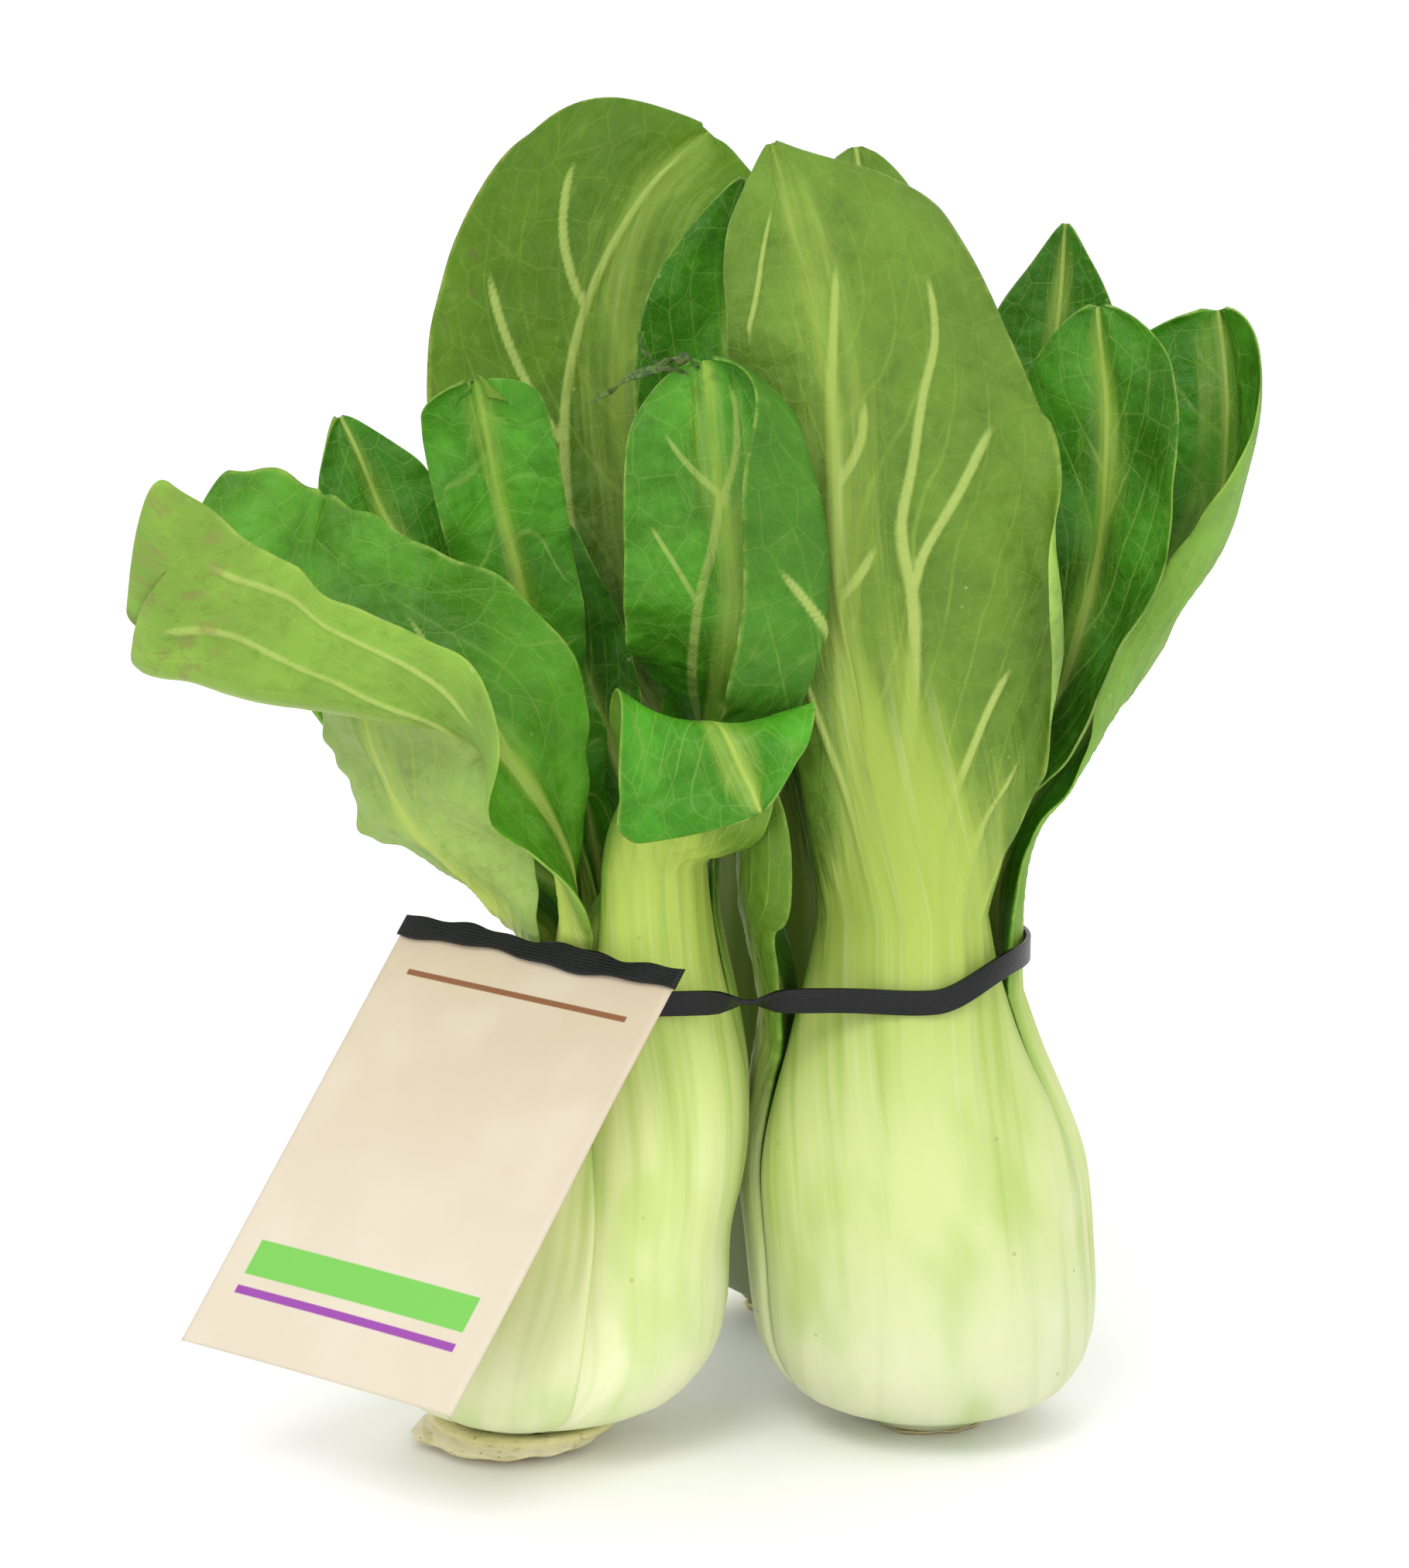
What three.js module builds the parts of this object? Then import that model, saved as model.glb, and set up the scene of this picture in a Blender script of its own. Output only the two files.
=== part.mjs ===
// A bunch of three heads of baby bok choy, held by a black elastic band with a card tag, standing on its
// cut ends. Millimetres, z up, the tag's side towards -y. The origin is under the middle of the bunch, on
// the surface that it stands on.
import * as THREE from "three";

// Driving dimensions
const NECK_HEIGHT = 78; // where the band pulls the heads together
const BLADE_EDGE = 0.7; // thickness of a leaf blade away from its ribs
const PIECE_GAP = 0.3; // clearance between pieces that touch
const LAYER_SHARE = [0.88, 0.67, 0.48, 0.31]; // radius of each layer of stalks, as a share of the head's
const LAYER_FOOT = [0.8, 4.5, 8.5, 12.5]; // height at which each layer leaves the stem
const LAYER_ROOT = [9.4, 8.2, 6.6, 4.8]; // radius at which each layer leaves the stem
const LAYER_RISE = [7, 11, 13, 14]; // height over which each layer reaches its own radius
const STALK_THICKNESS = 0.17; // as a share of the head's radius
const BAND = { width: 4, thickness: 0.8 };
const CARD = { width: 52, height: 77, thickness: 0.6, strip: 3.6 };

// Height, and radius as a share of the head's greatest radius
const HEAD_OUTLINE = [
  [0, 0.42],
  [2, 0.63],
  [5, 0.81],
  [12, 0.95],
  [20, 1],
  [30, 1.01],
  [43, 1.01],
  [56, 0.94],
  [68, 0.81],
  [78, 0.7],
  [88, 0.62],
  [98, 0.59],
  [112, 0.58],
];

// foot and neck are the places of the head's middle line at the surface and at the band.
// lift is how far the cut stem reaches below the lowest stalks.
const heads = {
  right: { foot: [24, 0], neck: [19, 4], girth: 27.5, lift: 0.2, bow: 2.5, swell: [0.075, 16, 42, 64] },
  left: { foot: [-45, -12.5], neck: [-24, -3], girth: 22.5, lift: 2.5, bow: 0.82, swell: [0.25, 6, 12, 36] },
  back: { foot: [4, 61.5], neck: [-1, 40.5], girth: 20, lift: 1, bow: 1, swell: [0, 16, 42, 64] },
};

// Every leaf: its head and layer (0 is outermost), the compass directions of the two edges of its stalk at the
// foot and at the top (0 is towards -y and 90 towards +x), and the height where its blade begins.
// rows lead the blade from there to its tip: x, y, z, the compass direction and tilt of its upper face,
// the widths of its two halves, and how far each half curls towards the upper face, in degrees.
// full is the share of the length after which the blade rounds off to its tip.
// fold turns the outer part of one half over: half, share of the width, angle, and the shares of the length
// between which it does so.
// crease lifts each half steeply from the midrib: the two angles, and the shares of the length where
// it grows.
// wave is the height of the ripples along the edges and their count.
const leaves = [
  {
    name: "right_leaf_1", head: "right", layer: 0, foot: [-80, 82], neck: [-62, 66], top: 86,
    full: 0.86,
    fold: [1, 0.74, -165, 0.06, 0.64], wave: [0.8, 2],
    rows: [
      [15.5, -13.5, 104, 180, 0, 13, 29, 40, 42],
      [11, -15, 124, 180, 0, 12, 39, 30, 28],
      [8, -14, 145, 180, -3, 14, 40, 25, 26],
      [7, -11.5, 165, 180, -6, 16, 36, 25, 32],
      [5, -8, 184, 180, -10, 15, 28, 22, 30],
      [0.5, -4.5, 200, 180, -14, 11, 20, 15, 25],
      [-2.5, -2, 209.5, 180, -15, 5, 6, 10, 15],
    ],
  },
  {
    name: "right_leaf_2", head: "right", layer: 0, foot: [-120, -84], neck: [-134, -68], top: 56,
    full: 0.82, wave: [0.8, 3],
    rows: [
      [-1.7, 1.2, 72, 82, 0, 10, 10.5, 30, 30],
      [-5.3, -0.5, 88, 82, 0, 9, 16, 25, 45],
      [-6.5, -3, 100, 80, 0, 9, 19.5, 20, 62],
      [-5, 3, 113, 60, 0, 10, 11, 20, 40],
      [-5, 10, 130, 20, 0, 13, 13, 20, 25],
      [-7, 14, 158, 8, 0, 18, 17, 25, 25],
      [-8, 17, 181, 4, 0, 17, 16, 25, 25],
      [-6, 19, 203, 0, 0, 8, 8, 15, 15],
    ],
  },
  {
    name: "right_leaf_3", head: "right", layer: 0, foot: [86, 124], neck: [70, 134], top: 72,
    full: 0.92,
    crease: [45, 0, 0.25, 0.5], wave: [1, 3],
    rows: [
      [38.5, 9.5, 97, -60, 8, 9, 11, 40, 40],
      [51, 14, 114.5, -42, 25, 12.5, 17, 60, 40],
      [62.5, 18, 130, -34, 30, 15.5, 24, 75, 30],
      [71, 22, 147, -24, 20, 18, 27, 65, 20],
      [73.5, 26, 164, -16, 0, 15, 25, 40, 20],
      [72, 30, 181, -12, 0, 10, 17, 15, 10],
    ],
  },
  {
    name: "right_leaf_4", head: "right", layer: 0, foot: [128, 228], neck: [138, 222], top: 84,
    columns: 8, full: 0.82,
    rows: [
      [24, 26.5, 104, -5, 0, 10, 12, 35, 35],
      [33, 34, 125, -10, 0, 12, 13, 30, 30],
      [43, 41, 153, -15, 0, 14, 14, 30, 30],
      [47, 46, 178, -15, 0, 11, 11, 30, 30],
      [48, 48, 194, -10, 0, 4, 4, 15, 15],
    ],
  },
  {
    name: "right_leaf_5", head: "right", layer: 1, foot: [62, 178], neck: [58, 150], top: 88,
    full: 0.88, wave: [1, 3],
    rows: [
      [36, 8.5, 106, -60, 0, 12, 10, 40, 35],
      [45.5, 7.5, 122, -42, 0, 14, 12, 65, 35],
      [51, 8, 144, -28, 0, 15, 14, 50, 35],
      [52, 10, 166, -22, 0, 14, 15, 35, 30],
      [50.5, 12, 183, -20, 0, 9, 9, 15, 15],
    ],
  },
  {
    name: "right_leaf_6", head: "right", layer: 1, foot: [184, 296], neck: [156, 262], top: 86,
    columns: 8,
    rows: [
      [14, 17, 104, 30, 0, 11, 10, 40, 40],
      [15, 23, 125, 12, 0, 13, 12, 30, 30],
      [17, 29, 150, 5, 0, 14, 14, 25, 25],
      [19, 33, 178, 2, 0, 12, 12, 20, 20],
      [20, 35, 190, 0, 0, 5, 5, 10, 10],
    ],
  },
  {
    name: "right_leaf_7", head: "right", layer: 1, foot: [-58, 56], neck: [-92, 50], top: 84,
    columns: 8,
    rows: [
      [16, -6, 102, 165, 0, 9, 9, 45, 45],
      [15, -5, 122, 170, 0, 9, 9, 35, 35],
      [14, -2, 142, 175, 0, 8, 8, 25, 25],
      [14, 0, 153, 178, 0, 3, 3, 10, 10],
    ],
  },
  {
    name: "right_leaf_8", head: "right", layer: 2, foot: [100, 250], neck: [60, 230], top: 84,
    columns: 8,
    rows: [
      [22, 9, 104, -20, 0, 9, 9, 50, 50],
      [25, 10, 120, -12, 0, 11, 11, 35, 35],
      [27, 12, 142, -8, 0, 8, 8, 25, 25],
      [28, 13, 153, -4, 0, 3, 3, 10, 10],
    ],
  },
  {
    name: "right_leaf_9", head: "right", layer: 2, foot: [-100, 90], neck: [-118, 50], top: 80,
    columns: 8,
    rows: [
      [14, 2, 98, 130, 0, 8, 8, 55, 55],
      [12, 3, 113, 125, 0, 8, 8, 40, 40],
      [10, 4, 130, 120, 0, 4, 4, 20, 20],
    ],
  },
  {
    name: "left_leaf_1", head: "left", layer: 0, foot: [14, 96], neck: [-26, 74], top: 93,
    full: 0.86, wave: [1, 2],
    rows: [
      [-15, -20, 107, 160, 5, 13, 13, 40, 40],
      [-15, -23, 116, 165, 30, 14, 15, 25, 25],
      [-12.5, -30, 122.5, 170, 75, 15, 17, 10, 10],
      [-9, -36, 120, -12, 50, 19, 15, 5, 10],
      [-6, -39, 114.5, -10, 25, 21, 9, 0, 5],
      [-4, -40.5, 110.5, -10, 12, 16, 4, 0, 0],
    ],
  },
  {
    name: "left_leaf_2", head: "left", layer: 0, foot: [100, 154], neck: [84, 150], top: 84,
    full: 0.88,
    fold: [0, 0.42, 168, 0.2, 1.1], wave: [0.6, 2],
    rows: [
      [-11, 2, 104, -70, 0, 5, 9, 35, 35],
      [-11.5, -4, 114, -50, 0, 12, 11, 30, 30],
      [-10, -15, 128, -20, 0, 27, 15, 10, 20],
      [-9.5, -19, 144, -5, 0, 31, 16, 5, 20],
      [-11.5, -18, 162, 0, 0, 27, 14, 5, 20],
      [-13, -16, 177, 0, -5, 17, 10, 5, 10],
    ],
  },
  {
    name: "left_leaf_3", head: "left", layer: 0, foot: [-38, 10], neck: [-64, -30], top: 78,
    full: 0.945,
    crease: [32, 76, 0.32, 0.55], wave: [0.8, 3],
    rows: [
      [-34.5, -18, 97, 85, 3, 7, 9, 30, 30],
      [-39.5, -21, 109, 50, 8, 13, 12, 30, 25],
      [-47, -23, 118.5, 22, 40, 20, 15, 25, 30],
      [-60, -26, 123.5, 10, 66, 30, 18, 25, 20],
      [-78, -27, 126, 8, 76, 36, 23, 25, 18],
      [-91, -26, 129, 8, 76, 38, 31, 25, 15],
      [-101, -25, 131, 8, 76, 37, 38, 15, 6],
    ],
  },
  {
    name: "left_leaf_4", head: "left", layer: 0, foot: [-112, -42], neck: [-138, -70], top: 76,
    full: 0.84, wave: [1.2, 3],
    rows: [
      [-46.5, -6.2, 89, 118, 5, 9.5, 9, 30, 30],
      [-55, -10.5, 99, 135, 15, 15, 13, 25, 25],
      [-62, -12, 109, 140, 20, 15, 15, 20, 15],
      [-66, -12, 119, 140, 20, 13, 15, 10, 10],
      [-67, -11, 128, 140, 15, 9, 12, 10, 10],
    ],
  },
  {
    name: "left_leaf_5", head: "left", layer: 0, foot: [158, 242], neck: [154, 218], top: 76,
    columns: 8, full: 0.8, wave: [1, 2],
    rows: [
      [-43.5, 14.5, 91, 65, 5, 8, 7.5, 35, 35],
      [-57, 18.5, 100, 75, 20, 10, 9, 25, 25],
      [-70, 17.5, 109, 85, 30, 9, 9, 15, 15],
      [-77, 15, 117, 85, 35, 5, 6, 10, 10],
    ],
  },
  {
    name: "left_leaf_6", head: "left", layer: 1, foot: [-170, -70], neck: [-166, -84], top: 84,
    full: 0.84, wave: [1, 3],
    rows: [
      [-41, 3, 105, 55, 0, 8, 9, 35, 35],
      [-52, 5, 125, 35, 0, 10, 12, 30, 30],
      [-63, 7, 147, 28, 5, 11, 13, 30, 30],
      [-71.5, 9, 165.5, 25, 5, 5, 6, 15, 15],
    ],
  },
  {
    name: "left_leaf_7", head: "left", layer: 1, foot: [96, 184], neck: [100, 186], top: 86,
    full: 0.84, wave: [1, 3],
    rows: [
      [-26, 11, 106, 0, 0, 6, 8, 35, 35],
      [-32, 14, 122, -8, 0, 9, 10, 30, 30],
      [-39, 16, 138, -10, 0, 10, 11, 30, 30],
      [-45, 18, 152, -12, 0, 5, 6, 20, 20],
    ],
  },
  {
    name: "left_leaf_8", head: "left", layer: 1, foot: [-66, 90], neck: [-72, 94], top: 80,
    columns: 8,
    rows: [
      [-20, -11, 98, -170, 0, 4, 6, 40, 50],
      [-19, -11, 106, -170, 0, 4, 6, 35, 45],
      [-19, -10, 116, -170, 0, 3, 4, 15, 15],
    ],
  },
  {
    name: "left_leaf_9", head: "left", layer: 2, foot: [-180, -30], neck: [-175, -50], top: 84,
    full: 0.95,
    wave: [1.6, 4],
    rows: [
      [-33, 0.5, 106, 50, 0, 5.5, 5.5, 35, 35],
      [-39, 0.5, 126, 25, 0, 8, 8, 25, 25],
      [-44, -1, 147, 10, 0, 10, 10, 15, 10],
      [-47.5, -2, 164, 5, 0, 10.5, 10, 10, 5],
      [-49, -2, 172.5, 5, 0, 9, 9, 5, 5],
    ],
  },
  {
    name: "left_leaf_10", head: "left", layer: 2, foot: [-22, 170], neck: [-20, 160], top: 80,
    columns: 8,
    rows: [
      [-22, 3.3, 98, -50, 0, 4.5, 4.2, 50, 50],
      [-22, 5.5, 108, -30, 0, 4, 3.5, 40, 40],
      [-22, 7, 116, -20, 0, 2.5, 2.5, 20, 20],
    ],
  },
  {
    name: "back_leaf_1", head: "back", layer: 0, foot: [-70, 44], neck: [-76, 44], top: 84,
    full: 0.87,
    fold: [0, 0.85, -50, 0.5, 0.8], wave: [1.2, 3],
    rows: [
      [-10, 28, 106, 165, 0, 15, 15, 45, 45],
      [-21, 34, 128, 168, -5, 24, 25, 35, 40],
      [-27, 42, 158, 172, -8, 34, 36, 30, 30],
      [-27, 48, 181, 173, -10, 33, 42, 22, 25],
      [-21, 53, 199, 174, -10, 25, 43, 15, 14],
      [-12, 55, 209, 174, -10, 14, 42, 10, 2],
    ],
  },
  {
    name: "back_leaf_2", head: "back", layer: 0, foot: [48, 132], neck: [48, 126], top: 84,
    columns: 8, full: 0.82,
    rows: [
      [13, 42, 104, -90, 0, 11, 11, 40, 40],
      [18, 48, 130, -120, -5, 13, 13, 30, 30],
      [18, 56, 165, -160, -8, 14, 14, 25, 25],
      [15, 60, 190, -170, -8, 13, 13, 20, 20],
      [13, 62, 206, -175, -8, 10, 10, 10, 10],
    ],
  },
  {
    name: "back_leaf_3", head: "back", layer: 0, foot: [136, 224], neck: [130, 204], top: 84,
    columns: 8, full: 0.82,
    rows: [
      [0, 57, 104, 0, 10, 10, 10, 40, 40],
      [2, 67, 128, 0, 12, 12, 12, 30, 30],
      [3, 76, 155, 0, 12, 13, 13, 25, 25],
      [2, 82, 178, 0, 10, 5, 5, 10, 10],
    ],
  },
  {
    name: "back_leaf_4", head: "back", layer: 0, foot: [228, 286], neck: [208, 280], top: 84,
    columns: 8, full: 0.82,
    rows: [
      [-17, 48, 104, 70, 8, 10, 10, 40, 40],
      [-28, 58, 125, 50, 15, 12, 12, 30, 30],
      [-40, 67, 148, 45, 18, 12, 12, 25, 25],
      [-47, 72, 166, 40, 18, 5, 5, 10, 10],
    ],
  },
  {
    name: "back_leaf_5", head: "back", layer: 1, foot: [80, 250], neck: [60, 240], top: 82,
    columns: 8,
    rows: [
      [2, 46, 100, -10, 5, 9, 9, 50, 50],
      [1, 50, 118, 5, 5, 11, 11, 35, 35],
      [0, 54, 140, 0, 5, 8, 8, 20, 20],
      [0, 56, 150, 0, 5, 3, 3, 10, 10],
    ],
  },
  {
    name: "back_leaf_6", head: "back", layer: 1, foot: [-104, 74], neck: [-114, 54], top: 80,
    columns: 8,
    rows: [
      [-4, 34, 98, 150, 0, 8, 8, 55, 55],
      [-5, 35, 112, 150, 0, 9, 9, 40, 40],
      [-6, 37, 130, 155, 0, 4, 4, 15, 15],
    ],
  },
];

// Smooth curve through points given as [place, values], read at one place
function readAlong(points, place) {
  let k = 0;
  while (k < points.length - 2 && place > points[k + 1][0]) k += 1;
  const [a, b] = [points[k], points[k + 1]];
  const before = points[Math.max(k - 1, 0)];
  const after = points[Math.min(k + 2, points.length - 1)];
  const step = b[0] - a[0];
  const t = THREE.MathUtils.clamp((place - a[0]) / step, 0, 1);
  return a.slice(1).map((value, i) => {
    const [p, q] = [value, b[i + 1]];
    const slopeIn = (q - before[i + 1]) / (b[0] - before[0]) * step;
    const slopeOut = (after[i + 1] - p) / (after[0] - a[0]) * step;
    const [t2, t3] = [t * t, t * t * t];
    const ends = (2 * t3 - 3 * t2 + 1) * p + (3 * t2 - 2 * t3) * q;
    return ends + (t3 - 2 * t2 + t) * slopeIn + (t3 - t2) * slopeOut;
  });
}

const ease = (low, high, x) => THREE.MathUtils.smoothstep(x, low, high);
const mix = THREE.MathUtils.lerp;
const radians = THREE.MathUtils.degToRad;

// Unit vector of a compass direction and a tilt upwards, in degrees
function facing(azimuth, tilt) {
  const [a, b] = [radians(azimuth), radians(tilt)];
  return new THREE.Vector3(Math.sin(a) * Math.cos(b), -Math.cos(a) * Math.cos(b), Math.sin(b));
}

// Middle of a head at a height, on a line that leans from its foot to its neck
function headMiddle(head, z) {
  const share = Math.sin(Math.PI / 2 * THREE.MathUtils.clamp(z / NECK_HEIGHT, 0, 1)) ** head.bow;
  return [mix(head.foot[0], head.neck[0], share), mix(head.foot[1], head.neck[1], share)];
}

function headRadius(head, z) {
  const [swell, full, start, end] = head.swell;
  const swollen = 1 + swell * ease(0, full, z) * (1 - ease(start, end, z));
  return readAlong(HEAD_OUTLINE, z)[0] * head.girth * swollen;
}

// Radius of the middle of a stalk of one layer at a height above the foot
function layerRadius(head, layer, z) {
  const risen = THREE.MathUtils.clamp((z - LAYER_FOOT[layer]) / LAYER_RISE[layer], 0, 1);
  return mix(LAYER_ROOT[layer], headRadius(head, z) * LAYER_SHARE[layer], Math.sin(Math.PI / 2 * risen));
}

// Place, upper face's direction, half widths and curls of one row of a leaf, from a table's numbers
function makeRow([x, y, z, azimuth, tilt, ...rest]) {
  const up = facing(azimuth, tilt);
  return [x, y, z, up.x, up.y, up.z, ...rest];
}

// Row of a stalk at a height above the foot
function stalkRow(leaf, z) {
  const head = heads[leaf.head];
  const radius = layerRadius(head, leaf.layer, z);
  const share = Math.min(z / NECK_HEIGHT, 1);
  const start = mix(leaf.foot[0], leaf.neck[0], share);
  const end = mix(leaf.foot[1], leaf.neck[1], share);
  const [x, y] = headMiddle(head, z + head.lift);
  const out = facing((start + end) / 2, 0);
  const span = (end - start) / 2;
  const half = radius * radians(span);
  const place = [x + out.x * radius, y + out.y * radius, z + head.lift];
  return makeRow([...place, (start + end) / 2 + 180, 0, half, half, span, span]);
}

const stalkThickness = (leaf, z) =>
  headRadius(heads[leaf.head], z) * STALK_THICKNESS * mix(0.5, 1, ease(0, 10, z - LAYER_FOOT[leaf.layer]));

// Section of one half of a leaf: places across and towards the upper face, from its middle to its edge
function halfSection(half, curl, crease, folding, from, count) {
  let [across, up] = [0, 0];
  const points = [[0, 0]];
  for (let i = 0; i < count; i += 1) {
    const t = (i + 0.5) / count;
    const angle = radians(crease * ease(0, 0.2, t) + curl * t + folding * ease(from, from + 0.25, t));
    across += Math.cos(angle) * half / count;
    up += Math.sin(angle) * half / count;
    points.push([across, up]);
  }
  return points;
}

// Rows of points across a leaf, from the rows' numbers and their shares of the length
function surfaceOf(leaf, rows, shares, columns) {
  const middle = rows.map((row) => new THREE.Vector3(row[0], row[1], row[2]));
  const [foldHalf, foldFrom, foldAngle, foldStart, foldEnd] = leaf.fold ?? [0, 1, 0, 0, 1];
  const [creaseMinus, creasePlus, creaseStart, creaseEnd] = leaf.crease ?? [0, 0, 0, 1];
  const [height, count] = leaf.wave ?? [0, 1];
  return rows.map((row, i) => {
    const next = middle[Math.min(i + 1, rows.length - 1)];
    const along = next.clone().sub(middle[Math.max(i - 1, 0)]).normalize();
    const up = new THREE.Vector3(row[3], row[4], row[5]);
    if (shares[i] <= 0) along.set(0, 0, 1);
    up.addScaledVector(along, -up.dot(along)).normalize();
    const across = up.clone().cross(along);
    const foldShare = THREE.MathUtils.clamp((shares[i] - foldStart) / (foldEnd - foldStart), 0, 1);
    const bump = Math.sin(Math.PI * foldShare) ** 0.7;
    const folding = [0, 1].map((half) => (half === foldHalf ? foldAngle * bump : 0));
    const grown = ease(creaseStart, creaseEnd, shares[i]);
    const minus = halfSection(row[6], row[8], creaseMinus * grown, folding[0], foldFrom, columns / 2);
    const plus = halfSection(row[7], row[9], creasePlus * grown, folding[1], foldFrom, columns / 2);
    const section = [...minus.map(([a, b]) => [-a, b]).reverse(), ...plus.slice(1)];
    return section.map(([a, b], j) => {
      const t = j / (columns / 2) - 1;
      const turn = 2 * Math.PI * count * shares[i] + (t > 0 ? 1.3 : 0);
      const ripple = height * ease(0.12, 0.3, shares[i]) * t * t * Math.sin(turn);
      return middle[i].clone().addScaledVector(across, a).addScaledVector(up, b + ripple);
    });
  });
}

// Closed solid between the two faces of a surface given as rows of points, with a thickness at every point
// and the share of it that lies on the upper side. Where a row is level, the thickness is too.
function solidOf(rows, thickness, upperShare, level) {
  const [m, n] = [rows.length, rows[0].length];
  const positions = [];
  const normalAt = (i, j) => {
    const along = rows[Math.min(i + 1, m - 1)][j].clone().sub(rows[Math.max(i - 1, 0)][j]);
    const across = rows[i][Math.min(j + 1, n - 1)].clone().sub(rows[i][Math.max(j - 1, 0)]);
    const normal = along.cross(across);
    if (level(i)) normal.z = 0;
    return normal.normalize();
  };
  for (const side of [1, -1]) {
    for (let i = 0; i < m; i += 1) {
      for (let j = 0; j < n; j += 1) {
        const share = side > 0 ? upperShare(i) : 1 - upperShare(i);
        const p = rows[i][j].clone().addScaledVector(normalAt(i, j), side * share * thickness(i, j));
        positions.push(p.x, p.y, p.z);
      }
    }
  }
  const index = [];
  const under = m * n;
  for (let i = 0; i < m - 1; i += 1) {
    for (let j = 0; j < n - 1; j += 1) {
      const [a, b, c, d] = [i * n + j, i * n + j + 1, (i + 1) * n + j + 1, (i + 1) * n + j];
      index.push(a, c, b, a, d, c);
      index.push(under + a, under + b, under + c, under + a, under + c, under + d);
    }
  }
  const rim = (a, b) => index.push(a, b, under + a, b, under + b, under + a);
  for (let j = 0; j < n - 1; j += 1) {
    rim(j, j + 1);
    rim((m - 1) * n + j + 1, (m - 1) * n + j);
  }
  for (let i = 0; i < m - 1; i += 1) {
    rim((i + 1) * n, i * n);
    rim(i * n + n - 1, (i + 1) * n + n - 1);
  }
  const geometry = new THREE.BufferGeometry();
  geometry.setAttribute("position", new THREE.Float32BufferAttribute(positions, 3));
  geometry.setIndex(index);
  geometry.computeVertexNormals();
  return geometry;
}

function stalkGeometry(leaf, rowCount, columns) {
  const foot = LAYER_FOOT[leaf.layer];
  const heights = [];
  for (let i = 0; i < rowCount; i += 1) {
    heights.push(mix(foot, leaf.top - PIECE_GAP, (i / (rowCount - 1)) ** 1.5));
  }
  const rows = heights.map((z) => stalkRow(leaf, z));
  const taper = (j) => mix(1, 0.4, Math.abs(j / (columns / 2) - 1) ** 2.5);
  const thickness = (i, j) => stalkThickness(leaf, heights[i]) * taper(j);
  const plain = { ...leaf, crease: undefined, fold: undefined, wave: undefined };
  return solidOf(surfaceOf(plain, rows, rows.map(() => 0), columns), thickness, () => 0.5, () => true);
}

function bladeGeometry(leaf, rowCount, columns) {
  const lead = [leaf.top - 12, leaf.top].map((z) => stalkRow(leaf, z));
  const points = [...lead, ...leaf.rows.map(makeRow)];
  const places = [0];
  for (let k = 1; k < points.length; k += 1) {
    const [a, b] = [points[k - 1], points[k]];
    places.push(places[k - 1] + Math.hypot(b[0] - a[0], b[1] - a[1], b[2] - a[2]));
  }
  const start = places[1];
  const length = places[places.length - 1] - start;
  const table = points.map((row, k) => [places[k] - start, ...row]);
  const shares = [];
  for (let i = 0; i < rowCount; i += 1) {
    const even = i / (rowCount - 1);
    shares.push(0.988 * mix(even, Math.sin(Math.PI / 2 * even), 0.4));
  }
  const full = leaf.full ?? 0.72;
  const rows = shares.map((share) => {
    const row = readAlong(table, share * length);
    const close = Math.sqrt(1 - THREE.MathUtils.clamp((share - full) / (1 - full), 0, 1) ** 2);
    row[6] *= close;
    row[7] *= close;
    return row;
  });
  const thickStalk = stalkThickness(leaf, leaf.top);
  const thickness = (i, j) => {
    const t = Math.abs(j / (columns / 2) - 1);
    const half = (rows[i][6] + rows[i][7]) / 2;
    const rib = BLADE_EDGE + mix(2.2, 0.2, shares[i]) * Math.exp(-((t * half / 2.5) ** 2));
    return mix(thickStalk * mix(1, 0.4, t ** 2.5), rib, ease(0, 0.3, shares[i]));
  };
  const upperShare = (i) => mix(0.5, 0.3, ease(0, 0.3, shares[i]));
  return solidOf(surfaceOf(leaf, rows, shares, columns), thickness, upperShare, (i) => i === 0);
}

// Cut stem of a head: a stepped cone inside the feet of its stalks, standing on its flat underside
function stemGeometry(head) {
  const profile = [[0, 0]];
  if (head.lift > 2) profile.push([9.5, 0], [12.5, 1.4], [16, 4.2], [15.6, 5.1], [10.3, head.lift + 0.4]);
  else profile.push([9.6, 0], [10.2, head.lift + 0.4]);
  LAYER_ROOT.forEach((radius, layer) => {
    const next = LAYER_FOOT[layer + 1] ?? 20;
    profile.push([radius - 1.4, LAYER_FOOT[layer] + head.lift - 0.3]);
    profile.push([radius - 1.6, next + head.lift - 0.5]);
  });
  profile.push([0, 23 + head.lift]);
  const turned = new THREE.LatheGeometry(profile.map(([r, z]) => new THREE.Vector2(r, z)), 28);
  turned.rotateX(Math.PI / 2);
  turned.translate(head.foot[0], head.foot[1], 0);
  return leanWith(head, turned);
}

// Moves the points of a stem along with its head's leaning middle line
function leanWith(head, geometry) {
  const points = geometry.getAttribute("position");
  for (let i = 0; i < points.count; i += 1) {
    const z = points.getZ(i);
    const [x, y] = headMiddle(head, z);
    points.setXYZ(i, points.getX(i) + x - head.foot[0], points.getY(i) + y - head.foot[1], z);
  }
  geometry.computeVertexNormals();
  return geometry;
}

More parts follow.
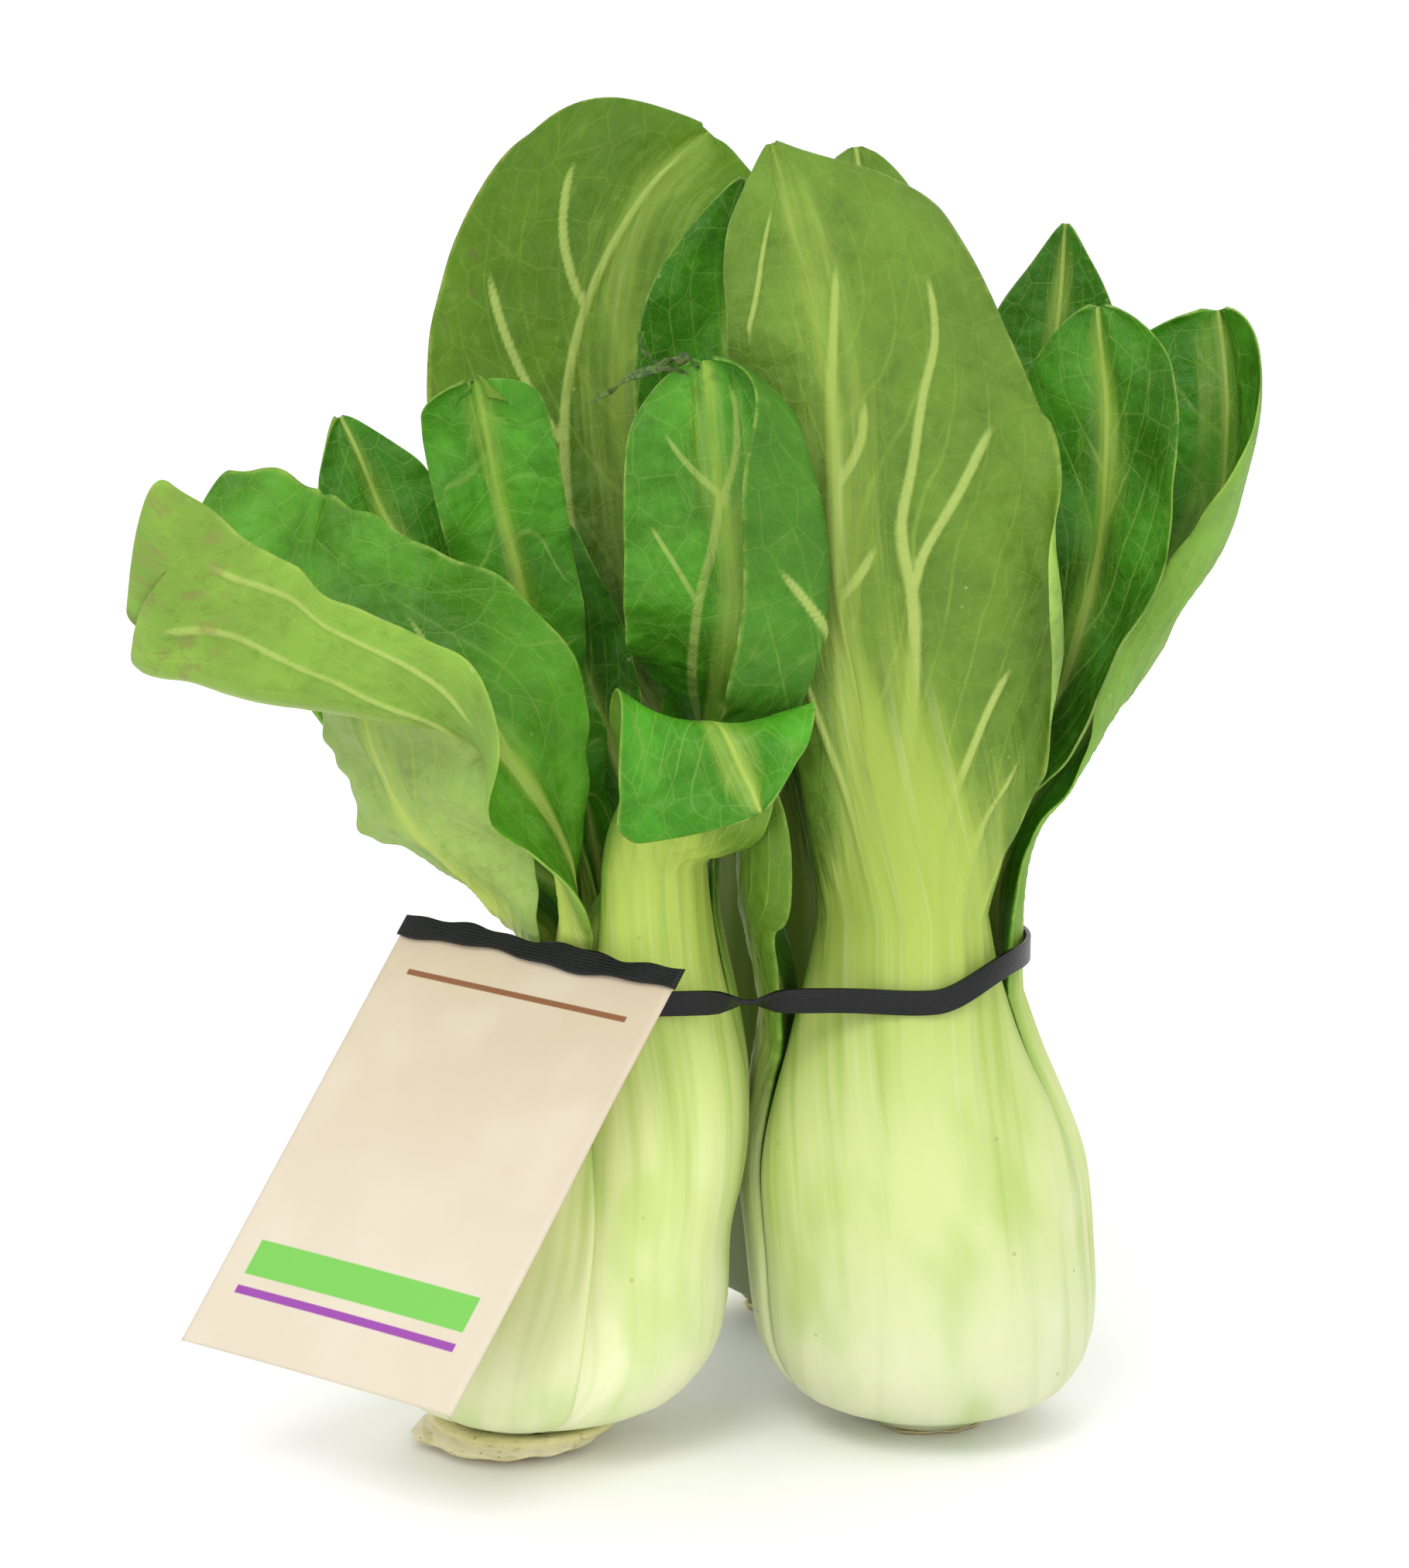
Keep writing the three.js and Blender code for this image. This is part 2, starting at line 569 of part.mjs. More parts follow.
// The band: places round the three necks, joined by straight runs between one neck and the next
function bandPath() {
  const necks = Object.values(heads).map((head) => {
    const [x, y] = headMiddle(head, NECK_HEIGHT);
    const z = 72.5 - head.lift;
    const outside = headRadius(head, z) * (LAYER_SHARE[0] + STALK_THICKNESS / 2);
    return { x, y, radius: outside + PIECE_GAP + BAND.thickness / 2 + 0.2 };
  });
  const path = [];
  let last = null;
  for (let a = 0; a < 360; a += 7.5) {
    const out = facing(a + 195, 0);
    const reach = (neck) => neck.x * out.x + neck.y * out.y + neck.radius;
    const neck = necks.reduce((best, other) => (reach(other) > reach(best) ? other : best));
    const point = new THREE.Vector3(neck.x + out.x * neck.radius, neck.y + out.y * neck.radius, 0);
    if (last && last.neck !== neck) {
      for (const share of [0.25, 0.5, 0.75]) path.push(last.point.clone().lerp(point, share));
    }
    path.push(point);
    last = { neck, point };
  }
  return path;
}

function bandHeight(x, y) {
  return 75.6 + 4 * ease(24, 38, x) + 1.2 * ease(10, 45, y) - 0.8 * Math.exp(-(((x - 22) / 9) ** 2));
}

function bandGeometry() {
  const path = bandPath();
  path.forEach((point) => point.setZ(bandHeight(point.x, point.y)));
  const count = path.length;
  const positions = [];
  const index = [];
  path.forEach((point, i) => {
    const along = path[(i + 1) % count].clone().sub(path[(i + count - 1) % count]).normalize();
    const twist = point.y < 5 ? radians(80) * Math.exp(-(((point.x + 5.8) / 4) ** 2)) : 0;
    const wide = new THREE.Vector3(0, 0, 1).addScaledVector(along, -along.z).normalize();
    wide.applyAxisAngle(along, twist);
    const thin = wide.clone().cross(along);
    for (const [a, b] of [[-1, -1], [1, -1], [1, 1], [-1, 1]]) {
      const p = point.clone().addScaledVector(wide, a * BAND.width / 2);
      p.addScaledVector(thin, b * BAND.thickness / 2);
      positions.push(p.x, p.y, p.z);
    }
    for (let k = 0; k < 4; k += 1) {
      const [p, q] = [i * 4 + k, i * 4 + (k + 1) % 4];
      const [r, s] = [((i + 1) % count) * 4 + (k + 1) % 4, ((i + 1) % count) * 4 + k];
      index.push(p, r, q, p, s, r);
    }
  });
  const geometry = new THREE.BufferGeometry();
  geometry.setAttribute("position", new THREE.Float32BufferAttribute(positions, 3));
  geometry.setIndex(index);
  geometry.computeVertexNormals();
  return geometry;
}

// The card's frame: its top left corner, the way along its top, the way down it and its outward face
const cardCorner = new THREE.Vector3(-60.6, 0.2, 84.6);
const cardAlong = new THREE.Vector3(44.8, -28, -3.1).normalize();
const cardDown = new THREE.Vector3(-33.5, -30, -59.1).normalize();
const cardOut = cardDown.clone().cross(cardAlong).normalize();

// Flat slab on the card's frame: its extent along, down and outwards
function cardSlab(along, down, out) {
  const slab = new THREE.BoxGeometry(1, 1, 1);
  const points = slab.getAttribute("position");
  for (let i = 0; i < points.count; i += 1) {
    const share = [points.getX(i) + 0.5, points.getY(i) + 0.5, points.getZ(i) + 0.5];
    const place = cardCorner.clone();
    place.addScaledVector(cardAlong, mix(...along, share[0]));
    place.addScaledVector(cardDown, mix(...down, share[1]));
    place.addScaledVector(cardOut, mix(...out, share[2]));
    points.setXYZ(i, place.x, place.y, place.z);
  }
  slab.setIndex([...slab.index.array].reverse());
  slab.computeVertexNormals();
  return slab;
}

const stalkColour = new THREE.MeshStandardMaterial({ color: 0xdfeaa8, roughness: 0.45, metalness: 0 });
const bladeColour = new THREE.MeshStandardMaterial({ color: 0x4f9a2c, roughness: 0.5, metalness: 0 });
const stemColour = new THREE.MeshStandardMaterial({ color: 0xe6dfb0, roughness: 0.6, metalness: 0 });
const bandColour = new THREE.MeshStandardMaterial({ color: 0x16181a, roughness: 0.35, metalness: 0 });
const cardColour = new THREE.MeshStandardMaterial({ color: 0xefe2c9, roughness: 0.6, metalness: 0 });

const bunch = new THREE.Group();
bunch.name = "bok_choy_bunch";

function add(name, geometry, material) {
  const mesh = new THREE.Mesh(geometry, material);
  mesh.name = name;
  bunch.add(mesh);
}

for (const leaf of leaves) {
  const inner = leaf.columns !== undefined;
  add(`${leaf.name}_stalk`, stalkGeometry(leaf, inner ? 6 : 7, inner ? 6 : 8), stalkColour);
  add(`${leaf.name}_blade`, bladeGeometry(leaf, inner ? 9 : 12, leaf.columns ?? 10), bladeColour);
}
for (const [name, head] of Object.entries(heads)) add(`${name}_stem`, stemGeometry(head), stemColour);
add("elastic_band", bandGeometry(), bandColour);
add("tag_card", cardSlab([0, CARD.width], [0, CARD.height], [0, CARD.thickness]), cardColour);
const stripOut = [CARD.thickness + PIECE_GAP, CARD.thickness + PIECE_GAP + BAND.thickness];
add("tag_strip", cardSlab([0, CARD.width + 1], [-0.6, CARD.strip - 0.6], stripOut), bandColour);

// Stands the whole bunch over the origin
const box = new THREE.Box3().setFromObject(bunch);
for (const mesh of bunch.children) {
  mesh.geometry.translate(-(box.min.x + box.max.x) / 2, -(box.min.y + box.max.y) / 2, -box.min.z);
}

export default bunch;
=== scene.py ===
"""Looks of a bunch of baby bok choy. Tables are in millimetres, as in the part's source."""
import math

import bpy
import numpy as np
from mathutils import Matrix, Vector


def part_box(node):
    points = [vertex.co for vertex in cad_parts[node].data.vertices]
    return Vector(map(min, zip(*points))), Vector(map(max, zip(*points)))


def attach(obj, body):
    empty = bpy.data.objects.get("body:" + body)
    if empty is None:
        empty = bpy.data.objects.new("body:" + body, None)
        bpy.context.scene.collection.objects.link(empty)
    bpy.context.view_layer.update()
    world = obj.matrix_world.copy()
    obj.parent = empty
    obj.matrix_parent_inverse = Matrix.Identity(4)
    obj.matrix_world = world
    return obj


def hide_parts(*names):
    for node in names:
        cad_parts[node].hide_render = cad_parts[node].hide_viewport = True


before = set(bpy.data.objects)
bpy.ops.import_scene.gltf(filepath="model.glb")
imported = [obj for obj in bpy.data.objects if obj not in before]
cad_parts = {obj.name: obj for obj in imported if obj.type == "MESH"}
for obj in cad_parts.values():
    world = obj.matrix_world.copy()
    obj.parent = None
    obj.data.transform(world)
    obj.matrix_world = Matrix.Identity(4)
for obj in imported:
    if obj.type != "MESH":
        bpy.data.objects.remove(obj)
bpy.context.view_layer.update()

MM = 0.001
NECK_HEIGHT = 78
BLADE_EDGE = 0.7
# Layers of stalks from the outside in: share of the head's radius, height, radius and rise of their roots
LAYER_SHARE = [0.88, 0.67, 0.48, 0.31]
LAYER_FOOT = [0.8, 4.5, 8.5, 12.5]
LAYER_ROOT = [9.4, 8.2, 6.6, 4.8]
LAYER_RISE = [7, 11, 13, 14]
STALK_THICKNESS = 0.17  # of the head's radius
STALK_LAP = 6  # degrees by which a stalk's edges reach over and under its neighbours
LAP_PUSH = 0.9  # how far they move out and in to do so
BAND_WIDTH, BAND_THICKNESS = 4, 0.8
CARD_WIDTH, CARD_HEIGHT, CARD_THICKNESS, CARD_STRIP = 52, 77, 0.6, 3.6
CARD_MARGIN = 5  # between the card's sides and its stripes
BAND_HEIGHT, BAND_SLACK = 75.6, 0.2
TWIST_PLACE, TWIST_LENGTH, TWIST_TURN = -5.8, 4, math.radians(80)
PIECE_GAP = 0.3

HEAD_OUTLINE = [
    [0, 0.42], [2, 0.63], [5, 0.81], [12, 0.95], [20, 1], [30, 1.01], [43, 1.01],
    [56, 0.94], [68, 0.81], [78, 0.7], [88, 0.62], [98, 0.59], [112, 0.58],
]

HEADS = {
    "right": {
        "foot": (24, 0), "neck": (19, 4), "girth": 27.5,
        "lift": 0.2, "bow": 2.5, "swell": (0.075, 16, 42, 64),
    },
    "left": {
        "foot": (-45, -12.5), "neck": (-24, -3), "girth": 22.5,
        "lift": 2.5, "bow": 0.82, "swell": (0.25, 6, 12, 36),
    },
    "back": {
        "foot": (4, 61.5), "neck": (-1, 40.5), "girth": 20,
        "lift": 1, "bow": 1, "swell": (0, 16, 42, 64),
    },
}

# Name, layer, azimuths of the stalk's edges at foot and neck, its top, the blade's form, and the blade's rows.
# A row is x, y, z, azimuth and tilt of the upper face, both half widths, and both halves' curl in degrees.
LEAF_TABLE = [
    ("right_leaf_1", 0, [-80, 82], [-62, 66], 86,
     {"full": 0.86, "fold": [1, 0.74, -165, 0.06, 0.64], "wave": [0.8, 2]}, [
        [15.5, -13.5, 104, 180, 0, 13, 29, 40, 42], [11, -15, 124, 180, 0, 12, 39, 30, 28],
        [8, -14, 145, 180, -3, 14, 40, 25, 26], [7, -11.5, 165, 180, -6, 16, 36, 25, 32],
        [5, -8, 184, 180, -10, 15, 28, 22, 30], [0.5, -4.5, 200, 180, -14, 11, 20, 15, 25],
        [-2.5, -2, 209.5, 180, -15, 5, 6, 10, 15],
    ]),
    ("right_leaf_2", 0, [-120, -84], [-134, -68], 56, {"full": 0.82, "wave": [0.8, 3]}, [
        [-1.7, 1.2, 72, 82, 0, 10, 10.5, 30, 30], [-5.3, -0.5, 88, 82, 0, 9, 16, 25, 45],
        [-6.5, -3, 100, 80, 0, 9, 19.5, 20, 62], [-5, 3, 113, 60, 0, 10, 11, 20, 40],
        [-5, 10, 130, 20, 0, 13, 13, 20, 25], [-7, 14, 158, 8, 0, 18, 17, 25, 25],
        [-8, 17, 181, 4, 0, 17, 16, 25, 25], [-6, 19, 203, 0, 0, 8, 8, 15, 15],
    ]),
    ("right_leaf_3", 0, [86, 124], [70, 134], 72,
     {"full": 0.92, "crease": [45, 0, 0.25, 0.5], "wave": [1, 3]}, [
        [38.5, 9.5, 97, -60, 8, 9, 11, 40, 40], [51, 14, 114.5, -42, 25, 12.5, 17, 60, 40],
        [62.5, 18, 130, -34, 30, 15.5, 24, 75, 30], [71, 22, 147, -24, 20, 18, 27, 65, 20],
        [73.5, 26, 164, -16, 0, 15, 25, 40, 20], [72, 30, 181, -12, 0, 10, 17, 15, 10],
    ]),
    ("right_leaf_4", 0, [128, 228], [138, 222], 84, {"coarse": True, "full": 0.82}, [
        [24, 26.5, 104, -5, 0, 10, 12, 35, 35], [33, 34, 125, -10, 0, 12, 13, 30, 30],
        [43, 41, 153, -15, 0, 14, 14, 30, 30], [47, 46, 178, -15, 0, 11, 11, 30, 30],
        [48, 48, 194, -10, 0, 4, 4, 15, 15],
    ]),
    ("right_leaf_5", 1, [62, 178], [58, 150], 88, {"full": 0.88, "wave": [1, 3]}, [
        [36, 8.5, 106, -60, 0, 12, 10, 40, 35], [45.5, 7.5, 122, -42, 0, 14, 12, 65, 35],
        [51, 8, 144, -28, 0, 15, 14, 50, 35], [52, 10, 166, -22, 0, 14, 15, 35, 30],
        [50.5, 12, 183, -20, 0, 9, 9, 15, 15],
    ]),
    ("right_leaf_6", 1, [184, 296], [156, 262], 86, {"coarse": True}, [
        [14, 17, 104, 30, 0, 11, 10, 40, 40], [15, 23, 125, 12, 0, 13, 12, 30, 30],
        [17, 29, 150, 5, 0, 14, 14, 25, 25], [19, 33, 178, 2, 0, 12, 12, 20, 20],
        [20, 35, 190, 0, 0, 5, 5, 10, 10],
    ]),
    ("right_leaf_7", 1, [-58, 56], [-92, 50], 84, {"coarse": True}, [
        [16, -6, 102, 165, 0, 9, 9, 45, 45], [15, -5, 122, 170, 0, 9, 9, 35, 35],
        [14, -2, 142, 175, 0, 8, 8, 25, 25], [14, 0, 153, 178, 0, 3, 3, 10, 10],
    ]),
    ("right_leaf_8", 2, [100, 250], [60, 230], 84, {"coarse": True}, [
        [22, 9, 104, -20, 0, 9, 9, 50, 50], [25, 10, 120, -12, 0, 11, 11, 35, 35],
        [27, 12, 142, -8, 0, 8, 8, 25, 25], [28, 13, 153, -4, 0, 3, 3, 10, 10],
    ]),
    ("right_leaf_9", 2, [-100, 90], [-118, 50], 80, {"coarse": True}, [
        [14, 2, 98, 130, 0, 8, 8, 55, 55], [12, 3, 113, 125, 0, 8, 8, 40, 40],
        [10, 4, 130, 120, 0, 4, 4, 20, 20],
    ]),
    ("left_leaf_1", 0, [14, 96], [-26, 74], 93, {"full": 0.86, "wave": [1, 2]}, [
        [-15, -20, 107, 160, 5, 13, 13, 40, 40], [-15, -23, 116, 165, 30, 14, 15, 25, 25],
        [-12.5, -30, 122.5, 170, 75, 15, 17, 10, 10], [-9, -36, 120, -12, 50, 19, 15, 5, 10],
        [-6, -39, 114.5, -10, 25, 21, 9, 0, 5], [-4, -40.5, 110.5, -10, 12, 16, 4, 0, 0],
    ]),
    ("left_leaf_2", 0, [100, 154], [84, 150], 84,
     {"full": 0.88, "fold": [0, 0.42, 168, 0.2, 1.1], "wave": [0.6, 2]}, [
        [-11, 2, 104, -70, 0, 5, 9, 35, 35], [-11.5, -4, 114, -50, 0, 12, 11, 30, 30],
        [-10, -15, 128, -20, 0, 27, 15, 10, 20], [-9.5, -19, 144, -5, 0, 31, 16, 5, 20],
        [-11.5, -18, 162, 0, 0, 27, 14, 5, 20], [-13, -16, 177, 0, -5, 17, 10, 5, 10],
    ]),
    ("left_leaf_3", 0, [-38, 10], [-64, -30], 78,
     {"full": 0.945, "crease": [32, 76, 0.32, 0.55], "wave": [0.8, 3]}, [
        [-34.5, -18, 97, 85, 3, 7, 9, 30, 30], [-39.5, -21, 109, 50, 8, 13, 12, 30, 25],
        [-47, -23, 118.5, 22, 40, 20, 15, 25, 30], [-60, -26, 123.5, 10, 66, 30, 18, 25, 20],
        [-78, -27, 126, 8, 76, 36, 23, 25, 18], [-91, -26, 129, 8, 76, 38, 31, 25, 15],
        [-101, -25, 131, 8, 76, 37, 38, 15, 6],
    ]),
    ("left_leaf_4", 0, [-112, -42], [-138, -70], 76, {"full": 0.84, "wave": [1.2, 3]}, [
        [-46.5, -6.2, 89, 118, 5, 9.5, 9, 30, 30], [-55, -10.5, 99, 135, 15, 15, 13, 25, 25],
        [-62, -12, 109, 140, 20, 15, 15, 20, 15], [-66, -12, 119, 140, 20, 13, 15, 10, 10],
        [-67, -11, 128, 140, 15, 9, 12, 10, 10],
    ]),
    ("left_leaf_5", 0, [158, 242], [154, 218], 76, {"coarse": True, "full": 0.8, "wave": [1, 2]}, [
        [-43.5, 14.5, 91, 65, 5, 8, 7.5, 35, 35], [-57, 18.5, 100, 75, 20, 10, 9, 25, 25],
        [-70, 17.5, 109, 85, 30, 9, 9, 15, 15], [-77, 15, 117, 85, 35, 5, 6, 10, 10],
    ]),
    ("left_leaf_6", 1, [-170, -70], [-166, -84], 84, {"full": 0.84, "wave": [1, 3]}, [
        [-41, 3, 105, 55, 0, 8, 9, 35, 35], [-52, 5, 125, 35, 0, 10, 12, 30, 30],
        [-63, 7, 147, 28, 5, 11, 13, 30, 30], [-71.5, 9, 165.5, 25, 5, 5, 6, 15, 15],
    ]),
    ("left_leaf_7", 1, [96, 184], [100, 186], 86, {"full": 0.84, "wave": [1, 3]}, [
        [-26, 11, 106, 0, 0, 6, 8, 35, 35], [-32, 14, 122, -8, 0, 9, 10, 30, 30],
        [-39, 16, 138, -10, 0, 10, 11, 30, 30], [-45, 18, 152, -12, 0, 5, 6, 20, 20],
    ]),
    ("left_leaf_8", 1, [-66, 90], [-72, 94], 80, {"coarse": True}, [
        [-20, -11, 98, -170, 0, 4, 6, 40, 50], [-19, -11, 106, -170, 0, 4, 6, 35, 45],
        [-19, -10, 116, -170, 0, 3, 4, 15, 15],
    ]),
    ("left_leaf_9", 2, [-180, -30], [-175, -50], 84, {"full": 0.95, "wave": [1.6, 4]}, [
        [-33, 0.5, 106, 50, 0, 5.5, 5.5, 35, 35], [-39, 0.5, 126, 25, 0, 8, 8, 25, 25],
        [-44, -1, 147, 10, 0, 10, 10, 15, 10], [-47.5, -2, 164, 5, 0, 10.5, 10, 10, 5],
        [-49, -2, 172.5, 5, 0, 9, 9, 5, 5],
    ]),
    ("left_leaf_10", 2, [-22, 170], [-20, 160], 80, {"coarse": True}, [
        [-22, 3.3, 98, -50, 0, 4.5, 4.2, 50, 50], [-22, 5.5, 108, -30, 0, 4, 3.5, 40, 40],
        [-22, 7, 116, -20, 0, 2.5, 2.5, 20, 20],
    ]),
    ("back_leaf_1", 0, [-70, 44], [-76, 44], 84,
     {"full": 0.87, "fold": [0, 0.85, -50, 0.5, 0.8], "wave": [1.2, 3]}, [
        [-10, 28, 106, 165, 0, 15, 15, 45, 45], [-21, 34, 128, 168, -5, 24, 25, 35, 40],
        [-27, 42, 158, 172, -8, 34, 36, 30, 30], [-27, 48, 181, 173, -10, 33, 42, 22, 25],
        [-21, 53, 199, 174, -10, 25, 43, 15, 14], [-12, 55, 209, 174, -10, 14, 42, 10, 2],
    ]),
    ("back_leaf_2", 0, [48, 132], [48, 126], 84, {"coarse": True, "full": 0.82}, [
        [13, 42, 104, -90, 0, 11, 11, 40, 40], [18, 48, 130, -120, -5, 13, 13, 30, 30],
        [18, 56, 165, -160, -8, 14, 14, 25, 25], [15, 60, 190, -170, -8, 13, 13, 20, 20],
        [13, 62, 206, -175, -8, 10, 10, 10, 10],
    ]),
    ("back_leaf_3", 0, [136, 224], [130, 204], 84, {"coarse": True, "full": 0.82}, [
        [0, 57, 104, 0, 10, 10, 10, 40, 40], [2, 67, 128, 0, 12, 12, 12, 30, 30],
        [3, 76, 155, 0, 12, 13, 13, 25, 25], [2, 82, 178, 0, 10, 5, 5, 10, 10],
    ]),
    ("back_leaf_4", 0, [228, 286], [208, 280], 84, {"coarse": True, "full": 0.82}, [
        [-17, 48, 104, 70, 8, 10, 10, 40, 40], [-28, 58, 125, 50, 15, 12, 12, 30, 30],
        [-40, 67, 148, 45, 18, 12, 12, 25, 25], [-47, 72, 166, 40, 18, 5, 5, 10, 10],
    ]),
    ("back_leaf_5", 1, [80, 250], [60, 240], 82, {"coarse": True}, [
        [2, 46, 100, -10, 5, 9, 9, 50, 50], [1, 50, 118, 5, 5, 11, 11, 35, 35],
        [0, 54, 140, 0, 5, 8, 8, 20, 20], [0, 56, 150, 0, 5, 3, 3, 10, 10],
    ]),
    ("back_leaf_6", 1, [-104, 74], [-114, 54], 80, {"coarse": True}, [
        [-4, 34, 98, 150, 0, 8, 8, 55, 55], [-5, 35, 112, 150, 0, 9, 9, 40, 40],
        [-6, 37, 130, 155, 0, 4, 4, 15, 15],
    ]),
]
LEAVES = []
for number, (name, layer, foot, neck, top, form, rows) in enumerate(LEAF_TABLE):
    own = {"name": name, "head": name.split("_")[0], "seed": number + 1}
    LEAVES.append({**own, "layer": layer, "foot": foot, "neck": neck, "top": top, "rows": rows, **form})


def read_along(points, places):
    """Smooth curve through rows of [place, values], read at many places."""
    points = np.asarray(points, float)
    places = np.atleast_1d(np.asarray(places, float))
    at = points[:, 0]
    last = len(at) - 1
    k = np.clip(np.searchsorted(at, places, side="left") - 1, 0, last - 1)
    a, b = points[k], points[k + 1]
    before, after = points[np.maximum(k - 1, 0)], points[np.minimum(k + 2, last)]
    step = (b[:, 0] - a[:, 0])[:, None]
    t = np.clip((places[:, None] - a[:, :1]) / step, 0, 1)
    p, q = a[:, 1:], b[:, 1:]
    slope_in = (q - before[:, 1:]) / (b[:, :1] - before[:, :1]) * step
    slope_out = (after[:, 1:] - p) / (after[:, :1] - a[:, :1]) * step
    t2, t3 = t * t, t ** 3
    ends = (2 * t3 - 3 * t2 + 1) * p + (3 * t2 - 2 * t3) * q
    return ends + (t3 - 2 * t2 + t) * slope_in + (t3 - t2) * slope_out


def distances(path):
    """Way along a path to each of its points."""
    return np.concatenate([[0], np.cumsum(np.linalg.norm(np.diff(path, axis=0), axis=1))])


def ease(low, high, x):
    t = np.clip((np.asarray(x, float) - low) / (high - low), 0, 1)
    return t * t * (3 - 2 * t)


def mix(a, b, t):
    return a + (b - a) * t


def facing(azimuth, tilt):
    a, b = np.radians(azimuth), np.radians(tilt)
    return np.array([np.sin(a) * np.cos(b), -np.cos(a) * np.cos(b), np.sin(b)])


def head_middle(head, z):
    share = np.sin(math.pi / 2 * np.clip(z / NECK_HEIGHT, 0, 1)) ** head["bow"]
    return mix(head["foot"][0], head["neck"][0], share), mix(head["foot"][1], head["neck"][1], share)


def head_radius(head, z):
    swell, full, start, end = head["swell"]
    swollen = 1 + swell * ease(0, full, z) * (1 - ease(start, end, z))
    return read_along(HEAD_OUTLINE, z)[:, 0] * head["girth"] * swollen


def layer_radius(head, layer, z):
    share = np.sin(math.pi / 2 * np.clip((z - LAYER_FOOT[layer]) / LAYER_RISE[layer], 0, 1))
    return mix(LAYER_ROOT[layer], head_radius(head, z) * LAYER_SHARE[layer], share)


def make_row(row):
    return [*row[:3], *facing(row[3], row[4]), *row[5:]]


def stalk_lapping(leaf, z):
    """How far the edges of a stalk lap over its neighbours at a height, from 0 to 1."""
    above = np.asarray(z, float) - LAYER_FOOT[leaf["layer"]]
    return ease(1, 9, above) * (1 - ease(0.45, 0.8, above / leaf["top"]))


def stalk_row(leaf, z):
    head = HEADS[leaf["head"]]
    radius = float(layer_radius(head, leaf["layer"], z)[0])
    share = min(z / NECK_HEIGHT, 1)
    start = mix(leaf["foot"][0], leaf["neck"][0], share)
    end = mix(leaf["foot"][1], leaf["neck"][1], share)
    lap = STALK_LAP * float(stalk_lapping(leaf, z))
    start, end = start - lap, end + lap
    x, y = head_middle(head, z + head["lift"])
    out = facing((start + end) / 2, 0)
    span = (end - start) / 2
    half = radius * math.radians(span)
    place = [x + out[0] * radius, y + out[1] * radius, z + head["lift"]]
    return make_row([*place, (start + end) / 2 + 180, 0, half, half, span, span])


def stalk_thickness(leaf, z):
    z = np.atleast_1d(z)
    grown = mix(0.5, 1, ease(0, 10, z - LAYER_FOOT[leaf["layer"]]))
    return head_radius(HEADS[leaf["head"]], z) * STALK_THICKNESS * grown


def unit(v):
    return v / np.maximum(np.linalg.norm(v, axis=-1, keepdims=True), 1e-9)


# Halves (0 minus, 1 plus) that grow wider towards the tip: from which share of the length, and how many times
WIDER = {
    "left_leaf_3": {1: (0.6, 1.12)},
    "left_leaf_4": {1: (0.05, 1.35)},
}


def leaf_rows(leaf, stalk_count, blade_count):
    """Rows of a whole leaf, with each row's share of the blade (negative on the stalk) and place in mm."""
    foot, top = LAYER_FOOT[leaf["layer"]], leaf["top"]
    heights = foot + (top - foot) * np.linspace(0, 1, stalk_count, endpoint=False) ** 1.3
    stalk = np.array([stalk_row(leaf, z) for z in heights])
    points = [stalk_row(leaf, top - 12), stalk_row(leaf, top)] + [make_row(r) for r in leaf["rows"]]
    points = np.array(points, float)
    places = distances(points[:, :3])
    start, length = places[1], places[-1] - places[1]
    even = np.linspace(0, 1, blade_count)
    shares = 0.9985 * mix(even, np.sin(math.pi / 2 * even), 0.4)
    blade = read_along(np.column_stack([places - start, points]), shares * length)
    full = leaf.get("full", 0.72)
    for number, (from_share, factor) in WIDER.get(leaf["name"], {}).items():
        blade[:, 6 + number] *= mix(1, factor, ease(from_share, from_share + 0.25, shares))
    close = np.sqrt(1 - np.clip((shares - full) / (1 - full), 0, 1) ** 2)
    blade[:, 6:8] *= close[:, None]
    rows = np.vstack([stalk, blade])
    along = np.concatenate([heights - top, shares * length])
    share = np.concatenate([(heights - top) / length, shares])
    return rows, share, along, length, np.concatenate([heights, np.full(blade_count, top)])


def half_section(half, curl, crease, folding, start, count):
    """Places across and towards the upper face of one half of every row, from the middle to the edge."""
    t = (np.arange(count) + 0.5) / count
    angle = np.radians(crease[:, None] * ease(0, 0.2, t) + curl[:, None] * t
                       + folding[:, None] * ease(start, start + 0.25, t))
    step = half[:, None] / count
    zero = np.zeros((len(half), 1))
    return [np.hstack([zero, np.cumsum(turned(angle) * step, axis=1)]) for turned in (np.cos, np.sin)]


# Dips in the outline of a tip: place across from -1 to 1, width, depth in mm (a lobe where it is negative)
NOTCHES = {
    "left_leaf_3": [(0.68, 0.1, 3.0), (1.0, 0.22, -1.6), (0.0, 0.14, 3.2)],
    "left_leaf_9": [(-0.6, 0.2, 3.0), (0.5, 0.12, 1.5), (-0.2, 0.1, -0.8)],
    "right_leaf_1": [(0.45, 0.12, 1.5)],
}


